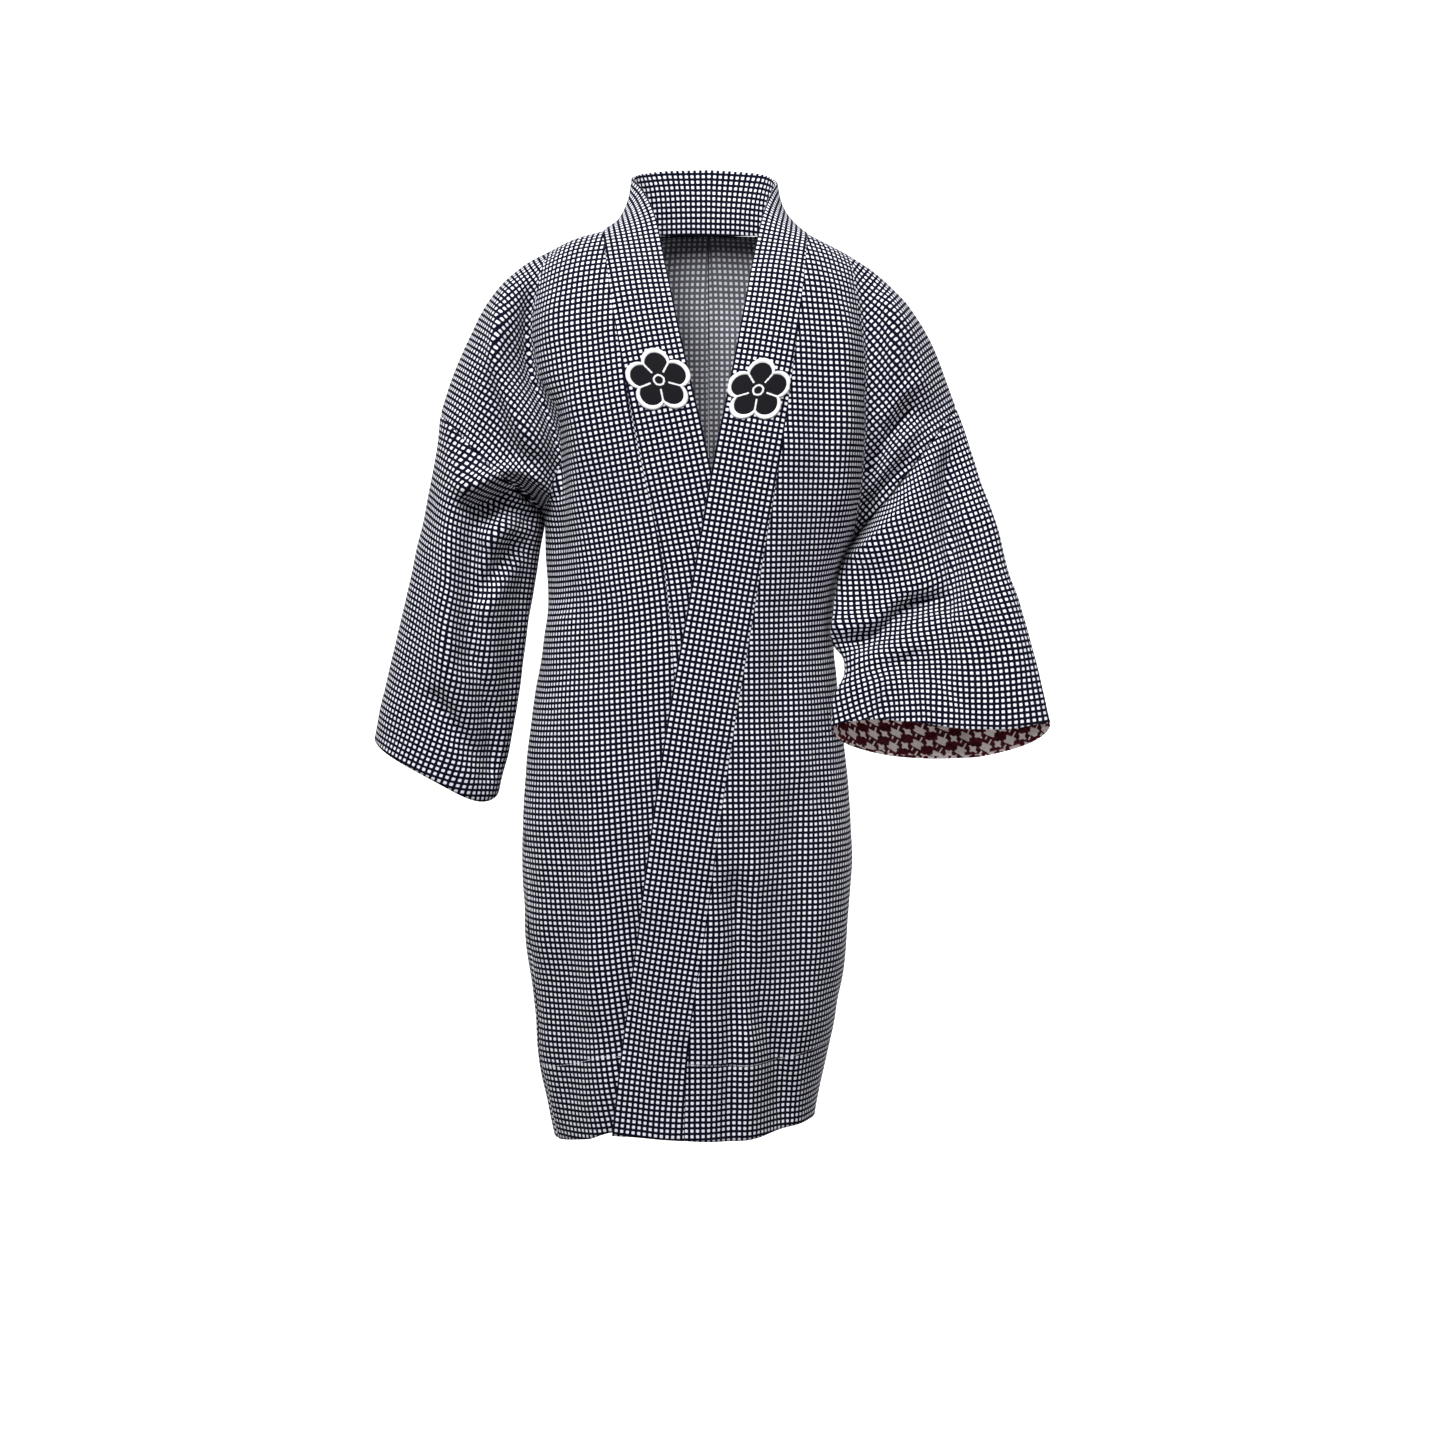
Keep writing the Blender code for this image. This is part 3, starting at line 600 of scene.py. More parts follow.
# The finer form of the cloth: pressed creases along the folds, and the crumple between them
creases = {
    "body": folds(front, """
        3 4.5 1.3  -131 -20  -139 -41  -145 -83  -139 -124  -121 -150  -117 -193  -117 -235  -119 -290
        -1.8 4.5 1.4  -108 -125  -110 -142  -111 -194  -112 -235  -114 -290
        -1.5 6 2  -160 -35  -176 -90  -195 -151
        1.4 7 2  -98 -50  -90 -105  -77 -160
        1.2 6 2  -112 -290  -100 -335  -82 -380
        3.4 4.5 1.3  116 -22  123 -67  128 -100  128 -141  128 -206  123 -247  117 -272  109 -305  105 -345
        -1.6 5 1.4  112 -60  116 -141  116 -206  108 -262
        1.3 7 2  88 -60  94 -120  86 -180
        1.8 6 2  57 -330  60 -390  64 -455
        2 5 2  22 -505  20 -620  17 -746
        -1.4 6 2  36 -500  36 -620  36 -746
        1.4 5 2  -128 -470  -131 -560  -127 -690
        -1.4 6 2  -94 -470  -96 -580  -92 -700
        1.2 6 2  94 -380  92 -470  86 -560
        10 10 2  22 -520  27 -560  39 -625  55 -690  64 -760
        5 10 2  70 -440  76 -540  78 -640
    """) + folds(back, """
        2.6 5 1.3  -130 -30  -141 -100  -127 -190  -122 -300
        2.6 5 1.3  123 -30  132 -100  120 -200  107 -310
        1.6 7 2  -92 -110  -60 -160  -20 -180
        1.4 7 2  86 -120  52 -170  16 -196
        1.8 6 2  -84 -330  -94 -500  -90 -746
        1.6 5.5 2  62 -330  54 -520  44 -746
    """),
    right: folds(front, """
        -2.6 4.5 1.4  -203 -221  -181 -208  -162 -202  -145 -209  -129 -222
        3.6 4 1.3  -196 -226  -178 -217  -160 -212  -145 -219  -132 -230
        -1.6 5.5 1.5  -195 -151  -202 -182  -213 -234  -212 -299  -209 -379
        6 5.5 1.4  -192 -232  -193 -292  -194 -360
        4.2 4.5 1.3  -191 -306  -176 -279  -162 -255  -143 -230
        -3.6 6 2  -187 -324  -170 -296  -152 -268
        3.4 5.5 1.3  -232 -378  -209 -404  -190 -432
        4.6 5 1.3  -197 -342  -187 -380  -183 -400  -181 -450
        -3 6 2  -178 -330  -172 -390  -170 -446
        15 18 2  -150 -236  -155 -310  -164 -380  -174 -452
        1.4 6 2  -234 -262  -240 -320  -250 -372
    """) + folds(back, """
        2 5 2  -184 -200  -194 -280  -202 -360
        1.8 5.5 2  -216 -300  -228 -370  -238 -430
        1.6 5 2  -150 -270  -178 -262  -204 -236
    """),
    left: folds(front, """
        3.4 3.8 1.2  164 -146  157 -160  149 -175  134 -197  124 -211
        -1.8 4.5 2  172 -152  158 -176  140 -202  130 -216
        2.4 4.2 1.3  163 -184  144 -210  126 -236
        5 5 1.3  196 -157  198 -214  200 -287  199 -305  196 -333  190 -368
        15 26 1.4  203 -140  201 -220  198 -320
        17 34 2  110 -320  150 -310  198 -302
        -11 30 2  205 -150  170 -195  140 -235  116 -270
        -5 12 2  236 -220  248 -300  258 -370
        3.6 4.2 1.2  103 -341  130 -336  143 -329  152 -319  164 -309  188 -304  202 -303
        -2.4 5.5 2  106 -330  132 -324  146 -315  158 -302  186 -294
        2.2 4 1.3  129 -360  150 -355  172 -344
        1.8 4.5 2  161 -345  150 -370  140 -405
        2 4.5 2  163 -345  174 -375  183 -410
        1.8 5 2  166 -343  200 -372  236 -408
        1.4 5.5 2  224 -236  236 -300  250 -366
    """) + folds(back, """
        2 5 2  172 -200  177 -280  171 -350
        1.8 5.5 2  206 -280  218 -350  224 -410
        1.6 5 2  126 -270  152 -256  182 -226
    """),
    # across the armholes: the right arm's cloth bags over its sleeve, and the left one is drawn
    # in two hollows beside the crease
    "crossing": folds(front, """
        11 8 1.5  -142 -30  -148 -83  -143 -122  -130 -150  -121 -180  -121 -225
        8 5 1.4  -143 -40  -150 -83  -146 -122  -133 -152  -123 -185  -121 -225
        -11 8.5 2  -172 -60  -170 -120  -154 -160  -141 -190
        8 6.5 1.5  120 -30  130 -100  130 -150  129 -206  122 -250
        -5 8 2  146 -50  153 -100  156 -140
        2.8 5.5 1.5  -190 -128  -206 -176  -212 -215
        -10 8 2  -210 -214  -199 -214  -181 -205  -162 -198  -145 -204  -127 -222
        11 12 2  -196 -238  -172 -230  -154 -232  -136 -244
        9 6 1.6  -205 -232  -190 -226  -175 -220  -160 -216  -147 -221  -131 -236
        5 6 2  -152 -214  -140 -226  -131 -240
        9 6 1.5  170 -140  158 -156  146 -176  130 -204
        -4.5 6 2  180 -120  160 -136  142 -162
        -6 6 2  176 -158  158 -180  142 -200  128 -222
        7 5.5 1.5  166 -186  148 -206  128 -236
    """),
    "crumple": 0.0010,
    "crumpleSeed": 11,
    "dip": 0.0009,  # how far a sewn edge sinks
    "dipReach": 0.0035,
}


def finished(points, outward, near):
    # the crumple moves points along their normals, and a sewn edge sinks into its seam
    dip = creases["dip"] * (1 - ramp(near, 0, creases["dipReach"]))
    return points + outward * (crumple(points) - dip)[..., None]


# The body: each panel runs from its front hem over the shoulder to its back hem
def panelGrids(side):
    # the front and the back, with rows from the hem up and columns from the side seam and the
    # armhole to the collar seam in front, and to the centre back behind
    heights = np.linspace(coat["hem"], coat["foot"][side], fineness["skirtRows"] + 1)
    frontShares = closeEnds(fineness["frontColumns"])
    neck = coat["neckShare"]
    toCentre = np.linspace(1, 0, fineness["neckColumns"] + 1)[1:-1]
    step = fineness["closeStep"]
    backShares = np.concatenate(
        [neck + (1 - neck) * (1 - frontShares), neck * toCentre, [step * neck, 0]]
    )
    grids = {}
    for part, shares in ((front, frontShares), (back, backShares)):
        skirt = bodyRing(side, heights, shares, part)
        upper = chest(side, skirt[-1], shares, part, fineness["chestRows"])
        grid = np.concatenate([skirt, upper[1:]])
        fromSide = shares if part == front else 1 - shares
        grid = eased(grid, len(heights) - 1, ramp(fromSide, 0, coat["easedSide"]))
        grid = folded(grid, bodyFolds + creases["body"] + creases["crossing"], forwardOfBody(grid))
        grids[part] = lapped(grid, side)
    return grids


def slopeAt(points, slopes):
    # the slope of the print's rows seen from the front, between the places where it is named:
    # each place counts by 1 / (distance^2 + reach^2)^2
    apart = points[..., [0, 2]][..., None, :] - np.stack([slopes["x"], slopes["z"]], -1)
    share = 1 / ((apart**2).sum(-1) + grain["reach"] ** 2) ** 2
    return np.radians((share * slopes["slope"]).sum(-1) / share.sum(-1))


def rowWays(outward, slope, face, rowsLead):
    # the way the print's rows run on the cloth, as unit vectors in its surface. It comes from
    # their slope seen from the front, and, where the surface turns away, from the columns'
    cosine, sine = np.cos(slope), np.sin(slope)
    level = np.zeros_like(slope)
    along = np.stack([cosine, level, sine], -1)
    up = np.stack([face * sine, level, -face * cosine], -1)
    along = along - (along * outward).sum(-1, keepdims=True) * outward
    up = up - (up * outward).sum(-1, keepdims=True) * outward
    share = np.linalg.norm(along, axis=-1, keepdims=True) ** 3 * rowsLead
    other = np.linalg.norm(up, axis=-1, keepdims=True) ** 3
    return unit(share * unit(along) + other * unit(np.cross(up, outward)))


def ends(values, axis):
    # the values at both ends of a grid's steps along an axis
    count = values.shape[axis]
    return np.take(values, range(count - 1), axis), np.take(values, range(1, count), axis)


def gathered(pulls, steps):
    # the pulls of the steps that lead to each point, less those of the steps that lead away
    pulls = (pull * step for pull, step in zip(pulls, steps))
    return -sum(np.diff(pull, axis=k, prepend=0, append=0) for k, pull in enumerate(pulls))


def charted(grid, outward, ways, weight, keep=((), ()), strides=(8, 4, 2, 1), rounds=260):
    # the place of each point on the flat print: the least squares fit of the steps between
    # neighbours to their lengths along the rows and across them, by conjugate gradients on
    # coarse grids and then on finer ones; keep names the rows and columns that each grid has
    flat, before = None, None
    for stride in strides:
        pick = [
            np.unique(np.concatenate([np.arange(0, count, stride), [count - 1], kept])).astype(int)
            for count, kept in zip(grid.shape[:2], keep)
        ]
        here = np.ix_(*pick)
        form, heavy, first = grid[here], weight[here], ways[here]
        second = np.cross(outward[here], first)
        flat = np.zeros((*form.shape[:2], 2)) if flat is None else spread(flat, before, pick)
        before = pick
        pulls, wanted = [], []
        for axis in (0, 1):
            step = np.diff(form, axis=axis)
            pulls.append(np.minimum(*ends(heavy, axis))[..., None])
            found = [(step * sum(ends(way, axis)) / 2).sum(-1) for way in (first, second)]
            wanted.append(np.stack(found, -1))
        rest = gathered(pulls, [want - np.diff(flat, axis=k) for k, want in enumerate(wanted)])
        way, size = rest.copy(), (rest**2).sum()
        for _ in range(rounds):
            spent = gathered(pulls, [np.diff(way, axis=k) for k in (0, 1)])
            length = size / max((way * spent).sum(), 1e-30)
            flat = flat + length * way
            rest = rest - length * spent
            fresh = (rest**2).sum()
            way, size = rest + fresh / max(size, 1e-30) * way, fresh
    return flat


def spread(flat, before, pick):
    # a coarse grid's flat points, read at the rows and the columns of a finer grid
    low = [np.clip(np.searchsorted(b, p, "right") - 1, 0, len(b) - 2) for b, p in zip(before, pick)]
    t = [(p - b[k]) / (b[k + 1] - b[k]) for b, p, k in zip(before, pick, low)]
    up, over = t[0][:, None, None], t[1][None, :, None]
    rows, columns = low
    lower = flat[rows] * (1 - up) + flat[rows + 1] * up
    return lower[:, columns] * (1 - over) + lower[:, columns + 1] * over


# The print's grain: slopes of its rows in degrees, seen from the front, and the lines in the
# valleys beside the arms where the print on the chest gives way to the print on the arm
grain = {
    "chest": {
        right: table("x z slope", """
        -90 -10 0, -100 -50 4, -100 -110 9, -90 -180 11, -120 -160 12, -60 -260 12,
        -100 -270 12, -120 -270 10, -130 -310 0, -90 -420 5, -120 -440 2, -60 -440 9,
        -140 -560 0, -100 -560 3, -70 -550 10, -140 -640 0, -100 -640 5, -80 -640 12,
        -120 -730 5, -90 -730 14, -30 -600 14
        """),
        left: table("x z slope", """
        90 -30 -3, 100 -100 -8, 90 -180 -9, 110 -200 -3, 70 -260 -9, 100 -280 -6, 60 -360 -8,
        90 -360 -4, 100 -420 0, 60 -440 -4, 30 -560 -3, 60 -560 0, 90 -560 6, 20 -680 -2,
        50 -680 3, 80 -680 10, 30 -730 0, 70 -730 10
        """),
        back: table("x z slope", "0 -50 0, 0 -700 0"),
    },
    "arm": {
        right: table("x z slope", """
        -130 -20 40, -160 -50 46, -200 -110 58, -160 -120 50, -170 -180 50, -210 -170 58
        """),
        left: table("x z slope", """
        130 -30 -35, 160 -50 -42, 150 -100 -48, 190 -110 -60, 150 -160 -45, 200 -160 -60,
        140 -210 -45
        """),
    },
    "sleeve": {
        right: table("x z slope", """
        -220 -200 -35, -170 -200 -40, -160 -240 -22, -220 -300 -35, -200 -280 -10,
        -180 -280 15, -150 -300 5, -160 -360 6, -170 -400 3, -210 -360 -25, -240 -380 -35,
        -190 -360 0, -250 -430 -28, -220 -450 -25, -190 -460 -12, -190 -420 -5, -230 -410 -30
        """),
        left: table("x z slope", """
        140 -230 20, 170 -200 22, 200 -200 28, 220 -220 18, 240 -300 14, 260 -380 4,
        220 -300 16, 180 -270 22, 160 -280 10, 120 -300 -2, 140 -310 2, 170 -340 6,
        190 -320 14, 130 -380 24, 160 -380 2, 190 -380 -12, 220 -400 -4, 120 -400 26,
        160 -400 -2, 260 -400 3
        """),
        (right, back): table("x z slope", "-200 -200 -30, -220 -440 -24"),
        (left, back): table("x z slope", "180 -200 26, 200 -400 8"),
    },
    "valley": {
        (right, front): table("z x", """
        -240 -146, -222 -131, -190 -120, -150 -121, -124 -137, -83 -145, -41 -139, -19 -132
        """),
        (right, back): table("z x", "-240 -150, -190 -128, -100 -141, -19 -132"),
        (left, front): table("z x", """
        -262 117, -247 122, -206 127, -141 128, -100 127, -67 123, -22 117
        """),
        (left, back): table("z x", "-262 118, -200 121, -100 131, -22 117"),
    },
    "below": -0.05,  # the way past a valley that points below its foot are given
    "far": 0.02,  # how little a place on the other side of a valley counts
    "wide": 0.012,  # and how far past the valley it still counts in full
    "reach": 0.018,
}


def bodyCharts(grid, outward, face, side, exists, keep):
    # two charts of a panel, one for the chest and the skirt and one for the top of the arm, and
    # how far each point lies past the valley towards the arm
    x, z, pasts, charts = grid[..., 0], grid[..., 2], {}, []
    for part in (front, back):
        line = grain["valley"][side, part]
        found = side * (x - np.interp(z, line["z"], line["x"]))
        pasts[part] = np.where(z < line["z"][0], grain["below"], found)
    past = np.where(face == front, pasts[front], pasts[back])
    for name, sign in (("chest", -1), ("arm", 1)):
        slope = slopeAt(grid, grain[name][side])
        if name == "chest":
            slope = np.where(face == back, slopeAt(grid, grain[name][back]), slope)
        ways = rowWays(outward, slope, face, 1.0)
        weight = np.where(sign * past > -grain["wide"], 1.0, grain["far"]) * exists
        charts.append(charted(grid, outward, ways, weight, keep))
    return *charts, past


def makePiece(name, parts, materials, wall=None, turned=False, merge=2e-5):
    # parts are grids with their flat shapes and the values of their points; faces follow the
    # rows and the columns, and points at one place are merged
    points, faces, flats, values, first = [], [], [], {}, 0
    for part in parts:
        rows, columns = part["grid"].shape[:2]
        quads = gridFaces(rows, columns) + first
        faces.append(quads[:, ::-1] if turned else quads)
        points.append(part["grid"].reshape(-1, 3))
        flats.append(part["flat"].reshape(-1, 2))
        for key, value in part["values"].items():
            values.setdefault(key, []).append(value.reshape(-1))
        first += rows * columns
    points, faces, flats = np.concatenate(points), np.concatenate(faces), np.concatenate(flats)
    mesh = bpy.data.meshes.new(name)
    mesh.from_pydata(points, [], faces)
    loops = np.empty(len(mesh.loops), int)
    mesh.loops.foreach_get("vertex_index", loops)
    mesh.uv_layers.new(name="cloth").uv.foreach_set("vector", flats[loops].ravel())
    for key, value in values.items():
        mesh.attributes.new(key, "FLOAT", "POINT").data.foreach_set("value", np.concatenate(value))
    work = bmesh.new()
    work.from_mesh(mesh)
    bmesh.ops.remove_doubles(work, verts=work.verts, dist=merge)
    work.to_mesh(mesh)
    work.free()
    mesh.shade_smooth()
    for one in materials:
        mesh.materials.append(one)
    piece = placed(name, mesh)
    if wall:
        solid = piece.modifiers.new("wall", "SOLIDIFY")
        solid.thickness = wall
        solid.offset = -1
        solid.material_offset = 1
    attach(piece, "root")
    return piece


# Materials. A small maker of shader nodes keeps the trees short
class Tree:
    def __init__(self, tree):
        self.tree = tree

    def add(self, kind, inputs=(), **settings):
        # a node with its settings; inputs are values or other nodes' outputs, by name or number
        node = self.tree.nodes.new(kind)
        for key, value in settings.items():
            setattr(node, key, value)
        for key, value in dict(inputs).items():
            if isinstance(value, bpy.types.NodeSocket):
                self.tree.links.new(value, node.inputs[key])
            else:
                node.inputs[key].default_value = value
        return node

    def math(self, operation, *values):
        return self.add("ShaderNodeMath", dict(enumerate(values)), operation=operation).outputs[0]

    def band(self, value, start, end):
        # 0 before start and 1 after end
        inputs = {"Value": value, "From Min": start, "From Max": end}
        node = self.add("ShaderNodeMapRange", inputs, interpolation_type="SMOOTHSTEP")
        return node.outputs["Result"]

    def noise(self, vector, scale, detail=2.0, roughness=0.5):
        inputs = {"Vector": vector, "Scale": scale, "Detail": detail, "Roughness": roughness}
        return self.add("ShaderNodeTexNoise", inputs).outputs["Fac"]

    def mix(self, share, one, other):
        node = self.add("ShaderNodeMix", {"Factor": share}, data_type="RGBA")
        for socket, value in (("A", one), ("B", other)):
            target = [s for s in node.inputs if s.name == socket and s.type == "RGBA"][0]
            if isinstance(value, bpy.types.NodeSocket):
                self.tree.links.new(value, target)
            else:
                target.default_value = (*value, 1)
        return [s for s in node.outputs if s.type == "RGBA"][0]

    def mottled(self, share, color, low, high, most=0.9):
        # from the colour times low to the colour times high, and never whiter than most
        low, high = ([min(value * times, most) for value in color] for times in (low, high))
        return self.mix(share, low, high)

    def link(self, outputs, node):
        for name, value in outputs.items():
            self.tree.links.new(value, node.inputs[name])


def newGroup(name, inputs, outputs):
    tree = bpy.data.node_groups.new(name, "ShaderNodeTree")
    for direction, sockets in (("INPUT", inputs), ("OUTPUT", outputs)):
        for socket, kind in sockets.items():
            tree.interface.new_socket(socket, in_out=direction, socket_type="NodeSocket" + kind)
    made = Tree(tree)
    return made, made.add("NodeGroupInput"), made.add("NodeGroupOutput")


checkSizes = {
    "pitch": 0.00458,  # of the woven check
    "cell": 0.545,  # the pale cell's share of the pitch
    "soft": 0.05,
    "corner": 5,  # the power that rounds a cell's corners
    "wander": 0.0006,  # how far the print strays
    "ragged": 0.12,  # how far the threads fray a cell's edge
    "seam": (0.0001, 0.0007),  # how far the painted shade in a seam's groove reaches
    "hemFrom": 0.063,  # the hem's stitches lie this far above its fold
    "hemShift": 0.0013,  # and the print steps there by this much
    "hemFall": 0.0016,
    "stitch": (0.0002, 0.0006),  # half a stitch's width
    "stitchGap": 0.25,
    "stitchPale": 0.35,
    "relief": {"weave": 0.00005, "wrinkle": 0.0016, "hem": 0.0004, "seam": 0.0004},
    "scale": {
        "wander": 55, "threads": 1400, "cloud": 26, "wrinkle": 95, "stitch": 90, "weave": 310
    },
    "uneven": 0.6,  # how far the weave's lines bend
    "pale": (0.78, 0.785, 0.87),
    "ink": (0.0022, 0.0022, 0.0095),
    # the least and the most times that a colour takes in its mottle
    "mottle": {"pale": (0.93, 1.05), "ink": (0.6, 1.9)},
    "rough": {"pale": 0.80, "more": 0.06},  # of the pale cells, and how much more the ink has
}


def checkGroup(c):
    # pale cells with round corners, where (x^5 + y^5)^(1/5) of the place in the cell is small,
    # in an ink grid; threads, a slightly uneven print and painted shade along the seams go with it
    g, given, out = newGroup(
        "checkPrint",
        {"Flat": "Vector", "Place": "Vector", "Seam": "Float", "Hem": "Float"},
        {"Color": "Color", "Height": "Float", "Roughness": "Float"},
    )
    flat, place, seam, hem = (given.outputs[name] for name in ("Flat", "Place", "Seam", "Hem"))
    scale, relief = c["scale"], c["relief"]
    split = g.add("ShaderNodeSeparateXYZ", {0: flat})
    lowHem = g.math("LESS_THAN", hem, c["hemFrom"])
    shifted = g.math("MULTIPLY_ADD", lowHem, c["hemShift"], split.outputs["Y"])
    wander = g.noise(place, scale["wander"])
    parts = []
    for axis, amount in ((split.outputs["X"], c["wander"]), (shifted, -c["wander"])):
        moved = g.math("MULTIPLY_ADD", wander, amount, axis)
        cell = g.math("FRACT", g.math("DIVIDE", moved, c["pitch"]))
        away = g.math("ABSOLUTE", g.math("SUBTRACT", cell, 0.5))
        parts.append(g.math("POWER", g.math("MULTIPLY", away, 2), c["corner"]))
    square = g.math("POWER", g.math("ADD", *parts), 1 / c["corner"])
    threads = g.noise(flat, scale["threads"], 1)
    edge = g.math("MULTIPLY_ADD", threads, c["ragged"], g.math("SUBTRACT", square, c["ragged"] / 2))
    ink = g.band(edge, c["cell"] - c["soft"], c["cell"] + c["soft"])
    pale = g.mottled(g.noise(place, scale["cloud"], 3), c["pale"], *c["mottle"]["pale"])
    color = g.mix(ink, pale, g.mottled(threads, c["ink"], *c["mottle"]["ink"]))
    # painted shade: where a seam's groove lies, the colour darkens to half the ink
    seam = g.band(seam, *c["seam"])
    color = g.mix(seam, [v / 2 for v in c["ink"]], color)
    fromStitch = g.math("ABSOLUTE", g.math("SUBTRACT", hem, c["hemFrom"]))
    dashes = g.add("ShaderNodeTexWave", {"Vector": flat, "Scale": scale["stitch"]})
    gap = g.math("GREATER_THAN", dashes.outputs["Fac"], c["stitchGap"])
    stitch = g.math("MULTIPLY", gap, g.math("SUBTRACT", 1, g.band(fromStitch, *c["stitch"])))
    color = g.mix(g.math("MULTIPLY", stitch, c["stitchPale"]), color, c["pale"])
    weave = []
    for direction in ("X", "Y"):
        inputs = {"Vector": flat, "Scale": scale["weave"], "Distortion": c["uneven"]}
        wave = g.add("ShaderNodeTexWave", inputs, bands_direction=direction)
        weave.append(wave.outputs["Fac"])
    height = g.math("MULTIPLY", g.math("ADD", *weave), relief["weave"])
    for name, value in (
        ("wrinkle", g.noise(place, scale["wrinkle"], 3)),
        ("hem", g.band(fromStitch, 0, c["hemFall"])),
        ("seam", seam),
    ):
        height = g.math("MULTIPLY_ADD", value, relief[name], height)
    rough = g.math("MULTIPLY_ADD", ink, c["rough"]["more"], c["rough"]["pale"])
    g.link({"Color": color, "Height": height, "Roughness": rough}, out)
    return g.tree


liningSizes = {
    "repeat": 0.0215,  # along a row of the large motifs
    "row": 0.0112,
    "step": 0.0090,  # each row's motifs step along by this
    "ragged": 0.5,
    "edge": (1.15, 1.32),
    # in each repeat, where a mark's middle lies, its half sizes and its turn in degrees
    "marks": table("shift lift halfX halfY slope", """
        0 0 3.5 3.5 38
        1.6 1.4 4.2 0.9 38
        -1.6 -1.4 4.2 0.9 38
        10.8 0 2.3 2.3 20
        10.8 0 3.6 0.9 62
        10.8 0 0.9 3.6 62
        5 3.6 3 0.6 -42
        15.8 -3.6 1.6 0.6 -42
    """),
    "relief": 0.0001,
    "scale": {"ragged": 900, "bits": 300},
    "bits": (0.35, 0.65),
    "ground": (0.085, 0.0080, 0.0150),
    "motif": (0.72, 0.64, 0.63),
    "mottle": {"ground": (0.35, 1), "motif": (0.7, 1.25)},
}


def liningGroup(c):
    # rows of tilted squares with ragged edges, and smaller ones and bars between them: a square
    # is where the larger of |x| and |y|, turned about its own middle, is small
    g, given, out = newGroup(
        "liningPrint", {"Flat": "Vector"}, {"Color": "Color", "Height": "Float"}
    )
    flat, scale, mottle = given.outputs["Flat"], c["scale"], c["mottle"]
    split = g.add("ShaderNodeSeparateXYZ", {0: flat})
    ragged, bits = g.noise(flat, scale["ragged"]), g.noise(flat, scale["bits"])
    rows = g.math("DIVIDE", split.outputs["Y"], c["row"])
    across = g.math("MULTIPLY_ADD", g.math("FLOOR", rows), c["step"], split.outputs["X"])
    y = g.math("MULTIPLY", g.math("SUBTRACT", g.math("FRACT", rows), 0.5), c["row"])
    marks = 0.0
    for shift, lift, halfX, halfY, angle in zip(*c["marks"].values()):
        cell = g.math("FRACT", g.math("DIVIDE", g.math("ADD", across, shift), c["repeat"]))
        x = g.math("MULTIPLY", g.math("SUBTRACT", cell, 0.5), c["repeat"])
        cosine, sine = math.cos(math.radians(angle)), math.sin(math.radians(angle))
        turned = []
        for a, b, half in ((cosine, sine, halfX), (-sine, cosine, halfY)):
            along = g.math("MULTIPLY_ADD", x, a, g.math("MULTIPLY_ADD", y, b, -lift * b))
            turned.append(g.math("DIVIDE", g.math("ABSOLUTE", along), half))
        far = g.math("MULTIPLY_ADD", ragged, c["ragged"], g.math("MAXIMUM", *turned))
        marks = g.math("MAXIMUM", marks, g.math("SUBTRACT", 1, g.band(far, *c["edge"])))
    ground = g.mottled(g.band(bits, *c["bits"]), c["ground"], *mottle["ground"])
    color = g.mix(marks, ground, g.mottled(ragged, c["motif"], *mottle["motif"]))
    g.link({"Color": color, "Height": g.math("MULTIPLY", ragged, c["relief"])}, out)
    return g.tree


finish = {"Roughness": 0.82, "Sheen Roughness": 0.5, "Specular IOR Level": 0.04}
bumpStrength = 0.8


def newMaterial(name):
    made = bpy.data.materials.new(name)
    made.use_nodes = True
    return made, Tree(made.node_tree), made.node_tree.nodes["Principled BSDF"]


def clothMaterial(name, group, sheen, tint=None, values=()):
    # matte cotton: a print group feeds the colour and the height, and a soft sheen lies on top;
    # a tint is a share and the colour that takes it
    made, t, shader = newMaterial(name)
    printed = t.add("ShaderNodeGroup", node_tree=group)
    flatMap = t.add("ShaderNodeUVMap", uv_map="cloth").outputs["UV"]

    def read(name):
        return t.add("ShaderNodeAttribute", attribute_name=name).outputs["Fac"]

    if values:
        # past the valley beside an arm the print takes its place from the arm's own chart
        arm = t.add("ShaderNodeCombineXYZ", {"X": read("armX"), "Y": read("armY")}).outputs[0]
        flatMap = t.mix(t.math("GREATER_THAN", read("past"), 0), flatMap, arm)
        t.link({"Place": t.add("ShaderNodeTexCoord").outputs["Object"]}, printed)
    t.link({"Flat": flatMap, **{key: read(key.lower()) for key in values}}, printed)
    color = printed.outputs["Color"]
    relief = {"Height": printed.outputs["Height"], "Strength": bumpStrength}
    relief = t.add("ShaderNodeBump", relief).outputs["Normal"]
    if tint:
        color = t.mix(tint[0], color, tint[1])
    t.link({"Base Color": color, "Normal": relief}, shader)
    setInputs(shader, {"Sheen Weight": sheen, **finish})
    if "Roughness" in printed.outputs:
        t.link({"Roughness": printed.outputs["Roughness"]}, shader)
    return made


checkPrint = checkGroup(checkSizes)
sewn = {"values": ("Seam", "Hem")}
checked = clothMaterial("checkedCotton", checkPrint, sheen=0.02, **sewn)
checkedInside = clothMaterial(
    "checkedCottonInside", checkPrint, sheen=0.02, tint=(0.25, (0.45, 0.45, 0.50)), **sewn
)
lined = clothMaterial("liningCotton", liningGroup(liningSizes), sheen=0.05)
print("materials")

bodySizes = {
    "wall": 0.0012,
    "centreDip": 0.7,  # a seam's sinking at the centre back, as a share of the whole
    "collarDip": 0.3,  # and beside the collar
    "sideFaint": 1.4,  # how many times narrower the side seam's sinking and shade are
    "cut": {right: (0.31, 1.52, 0.28), left: (0.30, 1.52, 0.26)},
}


